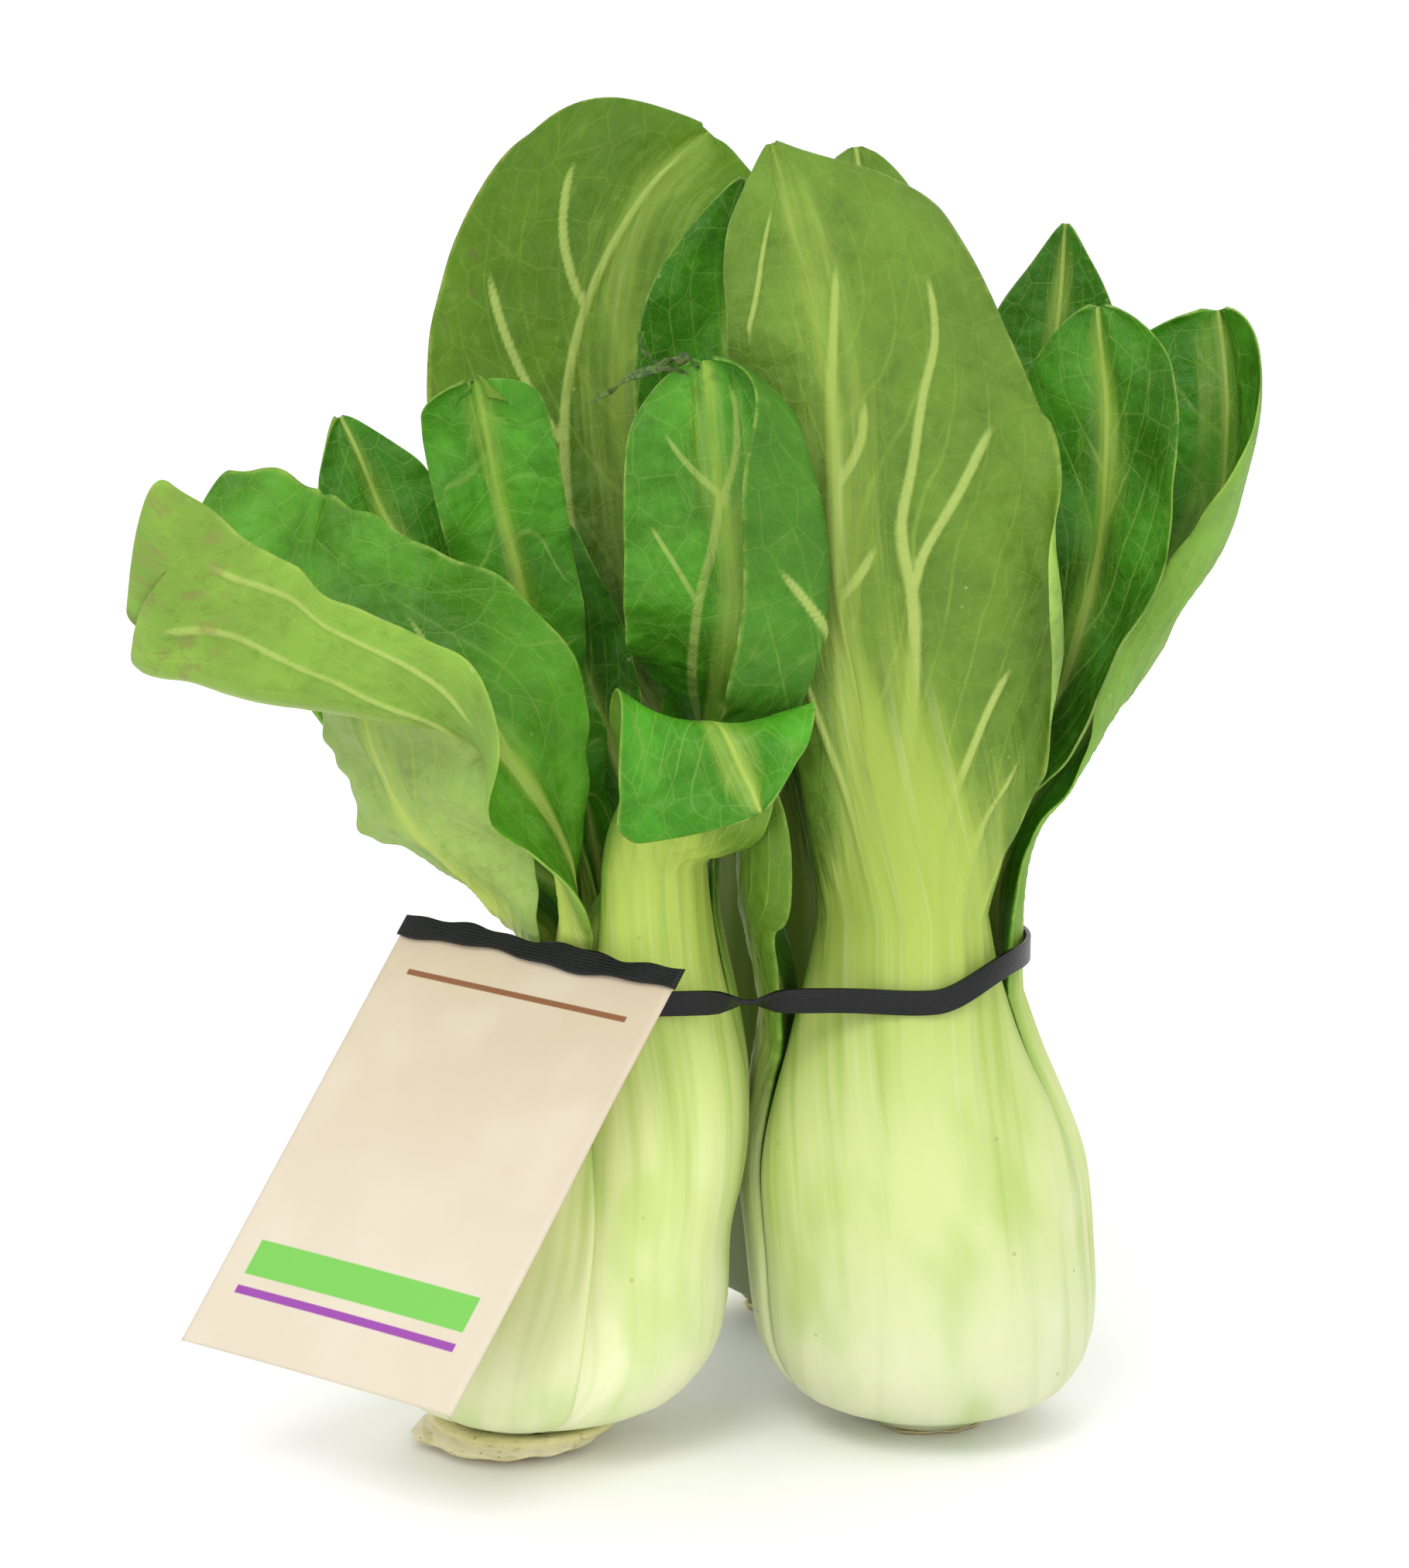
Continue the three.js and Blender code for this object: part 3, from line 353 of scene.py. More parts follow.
def leaf_surface(leaf, rows, share, half_count):
    """Middle surface of a leaf as a grid of points, with each column's place from -1 to 1."""
    middle = rows[:, :3]
    along = unit(np.gradient(middle, axis=0))
    level = 1 - ease(0, 0.12, share)[:, None]
    along = unit(mix(along, np.array([0, 0, 1.0]), level))
    up = unit(rows[:, 3:6] - along * np.sum(rows[:, 3:6] * along, axis=1, keepdims=True))
    across = np.cross(up, along)
    fold_half, fold_from, fold_angle, fold_start, fold_end = leaf.get("fold", [0, 1, 0, 0, 1])
    bump = np.sin(math.pi * np.clip((share - fold_start) / (fold_end - fold_start), 0, 1)) ** 0.7
    crease = leaf.get("crease", [0, 0, 0, 1])
    grown = ease(crease[2], crease[3], share)
    sides = []
    for half in (0, 1):
        folding = fold_angle * bump if half == fold_half else bump * 0
        width, curl = rows[:, 6 + half], rows[:, 8 + half]
        sides.append(half_section(width, curl, crease[half] * grown, folding, fold_from, half_count))
    a = np.hstack([-sides[0][0][:, :0:-1], sides[1][0]])
    b = np.hstack([sides[0][1][:, :0:-1], sides[1][1]])
    t = np.linspace(-1, 1, 2 * half_count + 1)
    height, count = leaf.get("wave", [0, 1])
    phase = np.where(t > 0, 1.3, 0)
    ripple = height * t ** 2 * np.sin(2 * math.pi * count * share[:, None] + phase)
    b = b + ripple * ease(0.12, 0.3, share)[:, None] + small_waves(leaf, rows, share, t)
    grid = middle[:, None] + across[:, None] * a[..., None] + up[:, None] * b[..., None]
    for at, width, depth in NOTCHES.get(leaf["name"], []):
        dip = depth * np.exp(-(((t - at) / width) ** 2))[None, :] * ease(0.86, 1, share)[:, None]
        grid = grid - along[:, None] * dip[..., None]
    return grid, t


def small_waves(leaf, rows, share, t):
    """Uneven ripples near the edges and soft dents all over the blade."""
    rng = np.random.default_rng(leaf["seed"])
    s = share[:, None]
    result = np.zeros((len(share), len(t)))
    for count in (5, 8, 13):
        for sign in (-1, 1):
            edge = np.clip(sign * t, 0, 1) ** 4
            strength = 1.6 / count ** 0.55 * rng.uniform(0.4, 1)
            result += edge * strength * np.sin(2 * math.pi * count * s + rng.uniform(0, 6.28))
    for _ in range(7):
        result += 0.26 * np.sin(rng.uniform(8, 30) * s + rng.uniform(-7, 7) * t + rng.uniform(0, 6.28))
    half = (rows[:, 6] + rows[:, 7])[:, None] / 30
    return result * ease(0.05, 0.3, s) * np.minimum(half, 1)


def vein_place(share, t, seed, count, rise):
    """Number that rises by one from each side vein to the next, along the curves that the veins follow."""
    rng = np.random.default_rng(seed + 50)
    s, side = share[:, None], np.abs(t)[None, :]
    place = (s - rise * side ** 1.25 + 0.5) * count
    for _ in range(4):
        place = place + 0.16 * np.sin(rng.uniform(5, 16) * s + rng.uniform(-4, 4) * t + rng.uniform(0, 6.28))
    return place + np.where(t > 0, 0.45, 0)[None, :]


# Number of side veins on a blade, and the share of its length that each climbs on its way to the edge
USUAL_VEINS, VEIN_WIDTH = (8.5, 0.46), 0.09
VEINS = {
    "right_leaf_1": (6.6, 0.85),
    "back_leaf_1": (7.5, 0.62),
    "left_leaf_3": (7.5, 0.6),
    "left_leaf_4": (6.5, 0.7),
    "left_leaf_9": (8.0, -0.06),
}


# Main veins that fan out of a stalk: width at both ends, and points as shares of the length and half width
MAIN_VEINS = {
    "right_leaf_1": [
        (5.0, 1.1, [(-0.12, -0.22), (0.07, -0.26), (0.26, -0.17), (0.39, -0.06), (0.51, 0.0), (0.61, 0.0),
            (0.69, 0.01), (0.77, 0.07), (0.84, 0.17)]),
        (4.2, 0.8, [(-0.12, 0.02), (0.11, 0.08), (0.24, 0.19), (0.37, 0.26), (0.43, 0.27), (0.51, 0.26),
            (0.58, 0.32), (0.67, 0.43), (0.74, 0.58), (0.81, 0.68)]),
        (1.5, 0.8, [(0.42, 0.27), (0.47, 0.33), (0.52, 0.43), (0.58, 0.57), (0.62, 0.68), (0.64, 0.77)]),
        (2.8, 1.1, [(-0.08, 0.2), (0.06, 0.26), (0.14, 0.36), (0.19, 0.46), (0.25, 0.56), (0.31, 0.66)]),
        (2.4, 1.0, [(-0.1, 0.44), (0.02, 0.48), (0.08, 0.56), (0.13, 0.68), (0.18, 0.8)]),
        (1.6, 0.8, [(-0.08, 0.66), (0.0, 0.74), (0.06, 0.88), (0.08, 0.95)]),
        (1.0, 0.6, [(0.78, -0.74), (0.82, -0.64), (0.88, -0.46), (0.93, -0.25)]),
        (0.9, 0.6, [(0.43, 0.0), (0.46, 0.09), (0.5, 0.17)]),
        (1.0, 0.6, [(0.56, 0.0), (0.62, 0.12), (0.68, 0.16)]),
        (1.4, 0.7, [(0.1, -0.3), (0.22, -0.42), (0.34, -0.6), (0.45, -0.74)]),
        (1.0, 0.6, [(0.42, -0.06), (0.5, -0.3), (0.6, -0.55), (0.68, -0.7)]),
    ],
    "left_leaf_3": [
        (3.2, 0.9, [(-0.1, 0.0), (0.2, 0.0), (0.35, 0.03), (0.5, 0.02), (0.8, 0.0), (0.97, 0.0)]),
        (1.1, 0.6, [(0.5, 0.55), (0.6, 0.68), (0.69, 0.78), (0.78, 0.8), (0.91, 0.74)]),
        (1.2, 0.6, [(0.46, 0.06), (0.54, 0.2), (0.63, 0.28), (0.69, 0.36), (0.78, 0.41), (0.86, 0.42),
            (0.96, 0.33)]),
        (1.0, 0.5, [(0.4, -0.05), (0.5, -0.3), (0.6, -0.6)]),
        (1.0, 0.5, [(0.6, -0.05), (0.7, -0.3), (0.8, -0.6)]),
    ],
    "left_leaf_2": [
        (2.6, 0.8, [(0.1, 0.05), (0.3, 0.22), (0.45, 0.33), (0.6, 0.28), (0.7, 0.12), (0.82, -0.1),
            (0.9, -0.18), (0.97, -0.25)]),
        (1.6, 0.7, [(0.42, -0.05), (0.5, -0.3), (0.6, -0.6), (0.68, -0.85)]),
        (0.9, 0.5, [(0.6, 0.28), (0.68, 0.5), (0.76, 0.75)]),
        (0.9, 0.5, [(0.78, -0.05), (0.84, 0.3), (0.9, 0.6)]),
    ],
    "back_leaf_1": [
        (3.4, 1.0, [(0.0, -0.1), (0.3, -0.33), (0.44, -0.36), (0.59, -0.28), (0.7, -0.2), (0.85, -0.08),
            (0.96, 0.0)]),
        (2.4, 0.8, [(0.0, 0.1), (0.3, 0.02), (0.5, 0.05), (0.7, 0.16), (0.88, 0.3)]),
        (1.2, 0.6, [(0.42, -0.36), (0.5, -0.52), (0.6, -0.75)]),
        (1.2, 0.6, [(0.58, -0.28), (0.68, -0.5), (0.78, -0.75)]),
        (1.0, 0.6, [(0.74, -0.17), (0.82, -0.4), (0.9, -0.6)]),
    ],
}
VEIN_COLUMNS = 1.9  # a main vein is at least this many columns of the grid wide


def main_veins(leaf, share, t, rows, length):
    """Strength of the main veins over the grid, 1 in the middle of a vein."""
    result = np.zeros((len(share), len(t)))
    half = np.where(t[None, :] < 0, rows[:, 6:7], rows[:, 7:8])
    for start, end, points in MAIN_VEINS.get(leaf["name"], []):
        points = np.array(points, float)
        steps = np.linspace(0, len(points) - 1, 12 * len(points))
        line = read_along(np.column_stack([np.arange(len(points)), points]), steps)
        middle = np.interp(share, line[:, 0], line[:, 1])
        slope = np.gradient(middle, share * length) * half.max(axis=1)
        width = np.interp(share, line[[0, -1], 0], (start, end))
        width = np.maximum(width[:, None], VEIN_COLUMNS * 2 * half / len(t))
        away = np.abs(t[None, :] - middle[:, None]) * half / np.sqrt(1 + slope ** 2)[:, None]
        first, last = line[0, 0], line[-1, 0]
        inside = ease(first - 0.06, first + 0.03, share) * (1 - ease(last - 0.04, last + 0.01, share))
        result = np.maximum(result, np.exp(-((away / (width / 2)) ** 2)) * inside[:, None])
    return result


def grid_faces(m, n, closed=False):
    """Faces over a grid of m rows and n columns, whose rows run round where it is closed."""
    i, j = np.meshgrid(np.arange(m - 1), np.arange(n if closed else n - 1), indexing="ij")
    a, b = (i * n + j).ravel(), (i * n + (j + 1) % n).ravel()
    return np.column_stack([a, b, b + n, a + n])


def sheet_faces(m, n):
    """Faces of a sheet with an upper grid, an under grid and a rim that joins them."""
    faces, off = grid_faces(m, n), m * n
    ring = np.concatenate([np.arange(n), np.arange(1, m) * n + n - 1,
                           (m - 1) * n + np.arange(n - 2, -1, -1), np.arange(m - 2, 0, -1) * n])
    after = np.roll(ring, -1)
    rim = np.column_stack([ring, after, after + off, ring + off])
    return np.concatenate([faces[:, [0, 3, 2, 1]], faces + off, rim])


def leaf_mesh(leaf, stalk_count, blade_count, half_count):
    rows, share, along, length, heights = leaf_rows(leaf, stalk_count, blade_count)
    grid, t = leaf_surface(leaf, rows, share, half_count)
    m, n = grid.shape[:2]
    normal = np.cross(np.gradient(grid, axis=0), np.gradient(grid, axis=1))
    normal[..., 2] *= ease(0, 0.12, share)[:, None]
    normal = unit(normal)
    side = np.abs(t)[None, :]
    half = (rows[:, 6] + rows[:, 7])[:, None] / 2
    s = np.clip(share, 0, 1)[:, None]
    stalk = stalk_thickness(leaf, heights)[:, None] * mix(1, 0.4, side ** 2.5)
    rib = BLADE_EDGE + mix(2.4, 0.2, s) * np.exp(-((side * half / 2.2) ** 2))
    thickness = mix(stalk, rib, ease(0, 0.3, s))
    thickness = thickness * np.sqrt(np.clip(1.02 - side ** 14, 0, 1))
    upper_share = mix(0.5, 0.3, ease(0, 0.3, share))[:, None]
    lapping = np.where(share < 0, stalk_lapping(leaf, heights), 0)[:, None]
    push = LAP_PUSH * lapping * (ease(0.72, 1, t) - ease(0.72, 1, -t))[None, :]
    grid = grid - normal * push[..., None]
    signed = np.where(t[None, :] < 0, -rows[:, 6:7], rows[:, 7:8]) * side
    place = vein_place(share, t, leaf["seed"], *VEINS.get(leaf["name"], USUAL_VEINS))
    veins = np.exp(-(((place % 1) - 0.5) / VEIN_WIDTH) ** 2) * ease(-0.1, 0.12, share)[:, None]
    veins = veins * (1 - side ** 3) * (1 - 0.7 * s)
    ribs = (0.5 + 0.5 * np.cos(signed * 2.1 + leaf["seed"])) * (1 - ease(0, 0.25, s))
    ribs = ribs * ease(-0.7, -0.05, share)[:, None]
    main = main_veins(leaf, share, t, rows, length)
    if main.any():
        veins, ribs = veins * 0.35, ribs * 0.4
    under = thickness * (1 - upper_share) + 0.38 * veins + 0.22 * ribs * (1 - side ** 4) + 0.55 * main
    upper = thickness * upper_share - 0.16 * veins * ease(0, 0.2, s)
    top_face = grid + normal * upper[..., None]
    under_face = grid - normal * under[..., None]
    points = np.concatenate([top_face.reshape(-1, 3), under_face.reshape(-1, 3)])
    data = {
        "leaf_place": (signed, along[:, None], place),
        "leaf_kind": (t[None, :], share[:, None], rows[:, 2][:, None]),
    }
    attributes = {}
    for key, parts in data.items():
        one = np.stack([np.broadcast_to(p, (m, n)) for p in parts], axis=-1).reshape(-1, 3)
        attributes[key] = np.concatenate([one, one])
    attributes["leaf_main_vein"] = np.concatenate([main.ravel()] * 2)
    attributes["leaf_upper"] = np.concatenate([np.ones(m * n), np.zeros(m * n)])
    return points, sheet_faces(m, n), attributes


def make_object(name, points, faces, material, attributes):
    mesh = bpy.data.meshes.new(name)
    mesh.from_pydata(((points + SHIFT) * MM).tolist(), [], [list(map(int, f)) for f in faces])
    mesh.validate()
    for key, values in attributes.items():
        values = np.asarray(values, np.float32)
        kind = "FLOAT" if values.ndim == 1 else "FLOAT_VECTOR"
        layer = mesh.attributes.new(key, kind, "POINT")
        layer.data.foreach_set("value" if values.ndim == 1 else "vector", values.ravel())
    mesh.shade_smooth()
    mesh.materials.append(material)
    piece = bpy.data.objects.new(name, mesh)
    bpy.context.scene.collection.objects.link(piece)
    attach(piece, "root")
    return piece


class Nodes:
    """Short way to write a material's nodes."""

    def __init__(self, name):
        self.material = bpy.data.materials.new(name)
        self.material.use_nodes = True
        self.tree = self.material.node_tree
        self.shader = self.tree.nodes["Principled BSDF"]
        self.output = self.tree.nodes["Material Output"]

    def add(self, kind, values=None, **settings):
        node = self.tree.nodes.new(kind)
        for key, value in settings.items():
            setattr(node, key, value)
        for key, value in (values or {}).items():
            self.put(node.inputs[key], value)
        return node

    def put(self, socket, value):
        if isinstance(value, bpy.types.NodeSocket):
            self.tree.links.new(value, socket)
        else:
            socket.default_value = value

    def math(self, operation, a, b=0.0, c=0.0):
        node = self.add("ShaderNodeMath", operation=operation)
        for socket, value in zip(node.inputs, (a, b, c)):
            self.put(socket, value)
        return node.outputs[0]

    def times(self, first, *others):
        for other in others:
            first = self.math("MULTIPLY", first, other)
        return first

    def plus(self, a, b):
        return self.math("ADD", a, b)

    def minus(self, a, b):
        return self.math("SUBTRACT", a, b)

    def ease(self, value, low, high, start=0.0, end=1.0):
        """Number that goes smoothly from start to end while the value goes from low to high."""
        ends = {"Value": value, "From Min": low, "From Max": high, "To Min": start, "To Max": end}
        return self.add("ShaderNodeMapRange", ends, interpolation_type="SMOOTHSTEP").outputs["Result"]

    def blend(self, a, b, share, mode="MIX"):
        node = self.add("ShaderNodeMix", data_type="RGBA", blend_type=mode)
        self.put(node.inputs[0], share)
        for socket, value in ((node.inputs[6], a), (node.inputs[7], b)):
            self.put(socket, value if isinstance(value, bpy.types.NodeSocket) else (*value, 1.0))
        return node.outputs[2]

    def layers(self, colour, *tints):
        """Colour with other colours laid over it, each by its share."""
        for tint, share in tints:
            colour = self.blend(colour, tint, share)
        return colour

    def attribute(self, name):
        return self.add("ShaderNodeAttribute", attribute_name=name)

    def split(self, vector):
        node = self.add("ShaderNodeSeparateXYZ")
        self.put(node.inputs[0], vector)
        return node.outputs

    def join(self, x, y, z=0.0):
        node = self.add("ShaderNodeCombineXYZ")
        for socket, value in zip(node.inputs, (x, y, z)):
            self.put(socket, value)
        return node.outputs[0]

    def noise(self, vector, scale, detail=3.0, rough=0.55):
        values = {"Vector": vector, "Scale": scale, "Detail": detail, "Roughness": rough}
        return self.add("ShaderNodeTexNoise", values).outputs["Fac"]

    def net(self, vector, scale, width):
        """Flat net of fine lines, 1 along their middle."""
        values = {"Vector": vector, "Scale": scale}
        node = self.add("ShaderNodeTexVoronoi", values, feature="DISTANCE_TO_EDGE", voronoi_dimensions="2D")
        return self.minus(1.0, self.ease(node.outputs["Distance"], 0.0, width))

    def spots(self, vector, scale, edge, core):
        """Scattered spots, 1 within their core."""
        node = self.add("ShaderNodeTexVoronoi", {"Vector": vector, "Scale": scale}, feature="F1")
        return self.ease(node.outputs["Distance"], edge, core)

    def bump(self, height, distance, strength=1.0, normal=None):
        values = {"Strength": strength, "Distance": distance, "Height": height}
        node = self.add("ShaderNodeBump", values)
        if normal is not None:
            self.put(node.inputs["Normal"], normal)
        return node.outputs[0]

    def finish(self, **values):
        for key, value in values.items():
            self.put(self.shader.inputs[key.replace("_", " ")], value)
        return self.material


def leaf_material(leaf):
    n = Nodes(leaf["name"])
    seed = leaf["seed"] * 7.3
    look = {**USUAL_LOOK, **LOOKS.get(leaf["name"], {})}
    across, along, vein = n.split(n.attribute("leaf_place").outputs["Vector"])
    t, share, height = n.split(n.attribute("leaf_kind").outputs["Vector"])
    upper = n.attribute("leaf_upper").outputs["Fac"]
    side = n.math("ABSOLUTE", t)
    flat = n.join(across, along, seed)
    sheet = n.join(n.plus(across, seed * 31.0), along)

    def streaks(wide, long, detail=3.0, rough=0.55):
        return n.noise(n.join(n.times(across, wide), n.times(along, long), seed), 1.0, detail, rough)

    # Veins: the middle rib, the side veins that fan out from it, and the fine net between them
    shift = n.times(n.minus(n.noise(flat, 0.09), 0.5), 0.35)
    turn = n.math("FRACT", n.plus(n.plus(vein, shift), 20.0))
    gap = n.math("ABSOLUTE", n.minus(turn, 0.5))
    width = n.math("MULTIPLY_ADD", n.math("POWER", side, 0.8), -0.055, 0.075)
    line = n.minus(1.0, n.ease(gap, n.times(width, 0.3), n.plus(width, 0.02)))
    line = n.times(line, n.ease(side, 1.0, 0.75), n.ease(share, -0.05, 0.12))
    line = n.times(line, n.ease(n.noise(flat, 0.12, 2.0), 0.3, 0.62, 0.35, 1.0))
    line = n.times(line, n.ease(share, 0.45, 1.0, 1.0, 0.4))
    if leaf["name"] in MAIN_VEINS:
        line = n.times(line, 0.35)
        main = n.attribute("leaf_main_vein").outputs["Fac"]
        rib = n.times(n.ease(main, 0.2, 0.75), n.ease(share, 0.0, 0.9, 1.0, 0.75))
    else:
        rib_width = n.ease(share, 0.0, 0.8, n.math("MULTIPLY_ADD", upper, -1.0, 2.6), 0.45)
        rib = n.minus(1.0, n.ease(n.math("ABSOLUTE", across), n.times(rib_width, 0.45), rib_width))
        rib = n.times(rib, look["rib"])
    net = n.plus(n.times(n.net(sheet, 0.16, 0.045), 0.28), n.times(n.net(sheet, 0.55, 0.08), 0.22))

    # Where the pale stalk gives way to the green blade: along the edges first, and last along the middle
    reach = n.ease(share, -0.35, n.math("MULTIPLY_ADD", upper, -0.25, 0.60))
    stalk_half = n.ease(reach, 0.0, 1.0, 1.25, 0.0)
    wander = n.times(n.minus(streaks(0.35, 0.03), 0.5), 0.7)
    green = n.ease(n.minus(n.plus(side, wander), stalk_half), -0.28, 0.32)
    green = n.times(green, n.ease(share, -0.45, 0.02))

    # Pale stalk: near white low down, yellow-green higher up, with soft streaks and clouds
    streak = n.ease(streaks(0.24, 0.012, 2.5, 0.5), 0.46, 0.74)
    thin, cloud = streaks(1.1, 0.02, 2.0), streaks(0.07, 0.035, 2.0)
    stalk = n.layers(
        (0.78, 0.79, 0.53),
        ((0.68, 0.74, 0.31), n.ease(height, 4.0, 48.0)),
        ((0.46, 0.57, 0.10), n.ease(height, 46.0, 86.0)),
        ((0.33, 0.45, 0.06), n.ease(height, 82.0, 128.0)),
        ((0.34, 0.48, 0.07), n.times(streak, n.ease(height, 4.0, 80.0, 0.2, 0.8))),
        ((0.74, 0.76, 0.48), n.times(n.ease(thin, 0.5, 0.8), 0.25)),
        ((0.22, 0.42, 0.04), n.times(n.ease(side, 0.8, 1.0), n.ease(height, 30.0, 90.0, 0.0, 0.8))),
        ((0.40, 0.56, 0.10), n.times(n.ease(cloud, 0.48, 0.72), 0.45)),
        ((0.86, 0.86, 0.66), n.times(n.ease(cloud, 0.46, 0.28), n.ease(height, 62.0, 30.0, 0.0, 0.4))),
        ((0.38, 0.30, 0.12), n.times(n.spots(flat, 0.11, 0.055, 0.02), 0.5)),
    )
    # Painted shade: each head's stalks are multiplied by that head's tint
    stalk = n.blend(stalk, HEAD_PAINTED_SHADE[leaf["head"]], 1.0, "MULTIPLY")

    # Green blade, its two faces apart
    tone = n.noise(flat, 0.05, 4.0, 0.6)
    lighter = n.ease(tone, 0.35, 0.7)
    over = n.blend(look["upper"], tuple(c * 1.9 + 0.01 for c in look["upper"]), lighter)
    over = n.blend(over, (0.33, 0.52, 0.10), n.times(n.math("MAXIMUM", line, net), 0.6))
    below = n.blend(look["under"], tuple(c * 1.35 for c in look["under"]), lighter)
    below = n.blend(below, (0.38, 0.54, 0.08), n.times(n.math("MAXIMUM", line, n.times(net, 0.45)), 0.8))
    mottle = n.noise(flat, 0.32, 4.0, 0.6)
    scar = n.times(n.spots(flat, 0.16, 0.075, 0.03), n.ease(n.noise(flat, 0.04, 1.0), 0.48, 0.56))
    blade = n.layers(
        n.blend(below, over, upper),
        ((0.30, 0.46, 0.08), n.ease(mottle, 0.52, 0.8, 0.0, 0.22)),
        ((0.03, 0.09, 0.006), n.ease(mottle, 0.48, 0.2, 0.0, 0.30)),
        ((0.42, 0.52, 0.20), n.times(scar, 0.55)),
        ((0.46, 0.58, 0.14), n.times(rib, n.math("MULTIPLY_ADD", upper, -0.25, 0.95))),
        ((0.42, 0.55, 0.11), n.times(n.ease(side, 0.965, 1.0), n.ease(mottle, 0.4, 0.6, 0.1, 0.5))),
    )
    colour = n.blend(stalk, blade, green)
    # Painted shade: the under face is darkened low down, from the upper height to the lower one, where shade
    # falls between the leaves
    if "painted_shade" in look:
        low, high, depth = look["painted_shade"]
        painted_shade_share = n.times(n.ease(height, high, low, 0.0, depth), n.minus(1.0, upper))
        colour = n.blend(colour, (0.02, 0.05, 0.004), painted_shade_share)
    for (from_t, to_t, from_share, to_share, cut, stain) in BLEMISHES.get(leaf["name"], []):
        patch = n.times(n.ease(t, from_t - 0.15, from_t + 0.15), n.ease(t, to_t + 0.15, to_t - 0.15),
                        n.ease(share, from_share - 0.05, from_share + 0.05),
                        n.ease(share, to_share + 0.05, to_share - 0.05),
                        n.ease(n.noise(flat, 0.35, 4.0, 0.65), cut, cut + 0.12), 0.6)
        colour = n.blend(colour, stain, patch)

    # Relief: the net stands out below and lies in above, and the blade is blistered between its veins
    depth = n.math("MULTIPLY_ADD", upper, -0.9, 0.45)
    dent = n.math("MULTIPLY_ADD", net, depth, n.times(n.noise(flat, 0.9), 0.25))
    dent = n.plus(n.times(dent, green), n.times(thin, 0.12))
    rough = n.plus(n.math("MULTIPLY_ADD", upper, -0.10, 0.50), n.times(n.minus(tone, 0.5), 0.2))
    blister = n.times(n.noise(flat, 0.13, 2.0), n.times(green, n.ease(side, 0.0, 0.25)))
    normal = n.bump(dent, 0.0006, 0.6, n.bump(blister, 0.004, 0.5))
    n.finish(Base_Color=colour, Roughness=rough, Normal=normal, Specular_IOR_Level=0.22)
    through = n.add("ShaderNodeBsdfTranslucent")
    n.put(through.inputs["Color"], n.blend(colour, (0.40, 0.75, 0.03), 0.35))
    blend = n.add("ShaderNodeMixShader")
    for socket, value in zip(blend.inputs, (n.times(green, 0.16), n.shader.outputs[0], through.outputs[0])):
        n.put(socket, value)
    n.put(n.output.inputs["Surface"], blend.outputs[0])
    return n.material


# Tint of each head's stalks
# Painted shade on each head's stalks, as a tint that multiplies their colour; the right head's stalks are
# darkened because the lamps light that head more strongly than the left one
HEAD_PAINTED_SHADE = {"right": (0.84, 0.87, 0.86), "left": (0.98, 1.0, 1.0), "back": (0.8, 0.85, 0.8)}
# Stains: the part of the half widths and of the length that they lie in, how sparse they are, colour
BLEMISHES = {
    "left_leaf_3": [(0.0, 1.0, 0.86, 1.0, 0.5, (0.27, 0.25, 0.07))],
    "back_leaf_1": [(-1.0, -0.75, 0.5, 0.85, 0.56, (0.13, 0.13, 0.035))],
    "left_leaf_2": [(-1, 1, 0.96, 1.0, 0.5, (0.07, 0.11, 0.02))],
    "left_leaf_4": [(-1, 1, 0.4, 1.0, 0.62, (0.42, 0.36, 0.12))],
}
# Colours of both faces of a blade, how strong its rib is, and the painted shade that darkens its under face
# low down between two heights, where shade falls between the leaves
USUAL_LOOK = {"upper": (0.030, 0.145, 0.002), "under": (0.13, 0.25, 0.025), "rib": 1.0}
LOOKS = {
    "right_leaf_1": {"under": (0.115, 0.215, 0.022), "upper": (0.20, 0.33, 0.055)},
    "back_leaf_1": {"under": (0.078, 0.175, 0.005), "painted_shade": (120, 172, 0.72)},
    "left_leaf_3": {"under": (0.20, 0.36, 0.045), "upper": (0.055, 0.20, 0.005)},
    "left_leaf_4": {"under": (0.28, 0.42, 0.10)},
    "left_leaf_1": {"upper": (0.045, 0.23, 0.006)},
    "left_leaf_9": {"upper": (0.045, 0.20, 0.005), "rib": 0.15},
    "left_leaf_5": {"upper": (0.07, 0.28, 0.008), "under": (0.16, 0.36, 0.02)},
    "right_leaf_3": {"under": (0.17, 0.34, 0.04), "upper": (0.038, 0.19, 0.004)},
    "left_leaf_2": {"upper": (0.045, 0.19, 0.006), "under": (0.055, 0.19, 0.012)},
}


# Card: its upper left corner at the back, and the ways to the right, down and out from there
CARD_CORNER = np.array([-60.6, 0.2, 84.6])
CARD_RIGHT = unit(np.array([44.8, -28, -3.1]))
CARD_DOWN = unit(np.array([-33.5, -30, -59.1]))
CARD_OUT = unit(np.cross(CARD_DOWN, CARD_RIGHT))

# The bunch's place over the origin, from where the card was packed
card_points = [CARD_CORNER + CARD_RIGHT * a + CARD_DOWN * b + CARD_OUT * c
               for a in (0, CARD_WIDTH) for b in (0, CARD_HEIGHT) for c in (0, CARD_THICKNESS)]
SHIFT = np.array(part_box("tag_card")[0]) / MM - np.array(card_points).min(axis=0)

# Rows on the stalk, rows on the blade and columns on each half
COARSE_GRID, USUAL_GRID, FINE_GRID = (34, 70, 18), (48, 120, 30), (48, 160, 45)

for leaf in LEAVES:
    counts = COARSE_GRID if "coarse" in leaf else USUAL_GRID
    if leaf["name"] in MAIN_VEINS:
        counts = FINE_GRID
    points, faces, attributes = leaf_mesh(leaf, *counts)
    piece = make_object(leaf["name"], points, faces, leaf_material(leaf), attributes)
    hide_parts(leaf["name"] + "_stalk", leaf["name"] + "_blade")


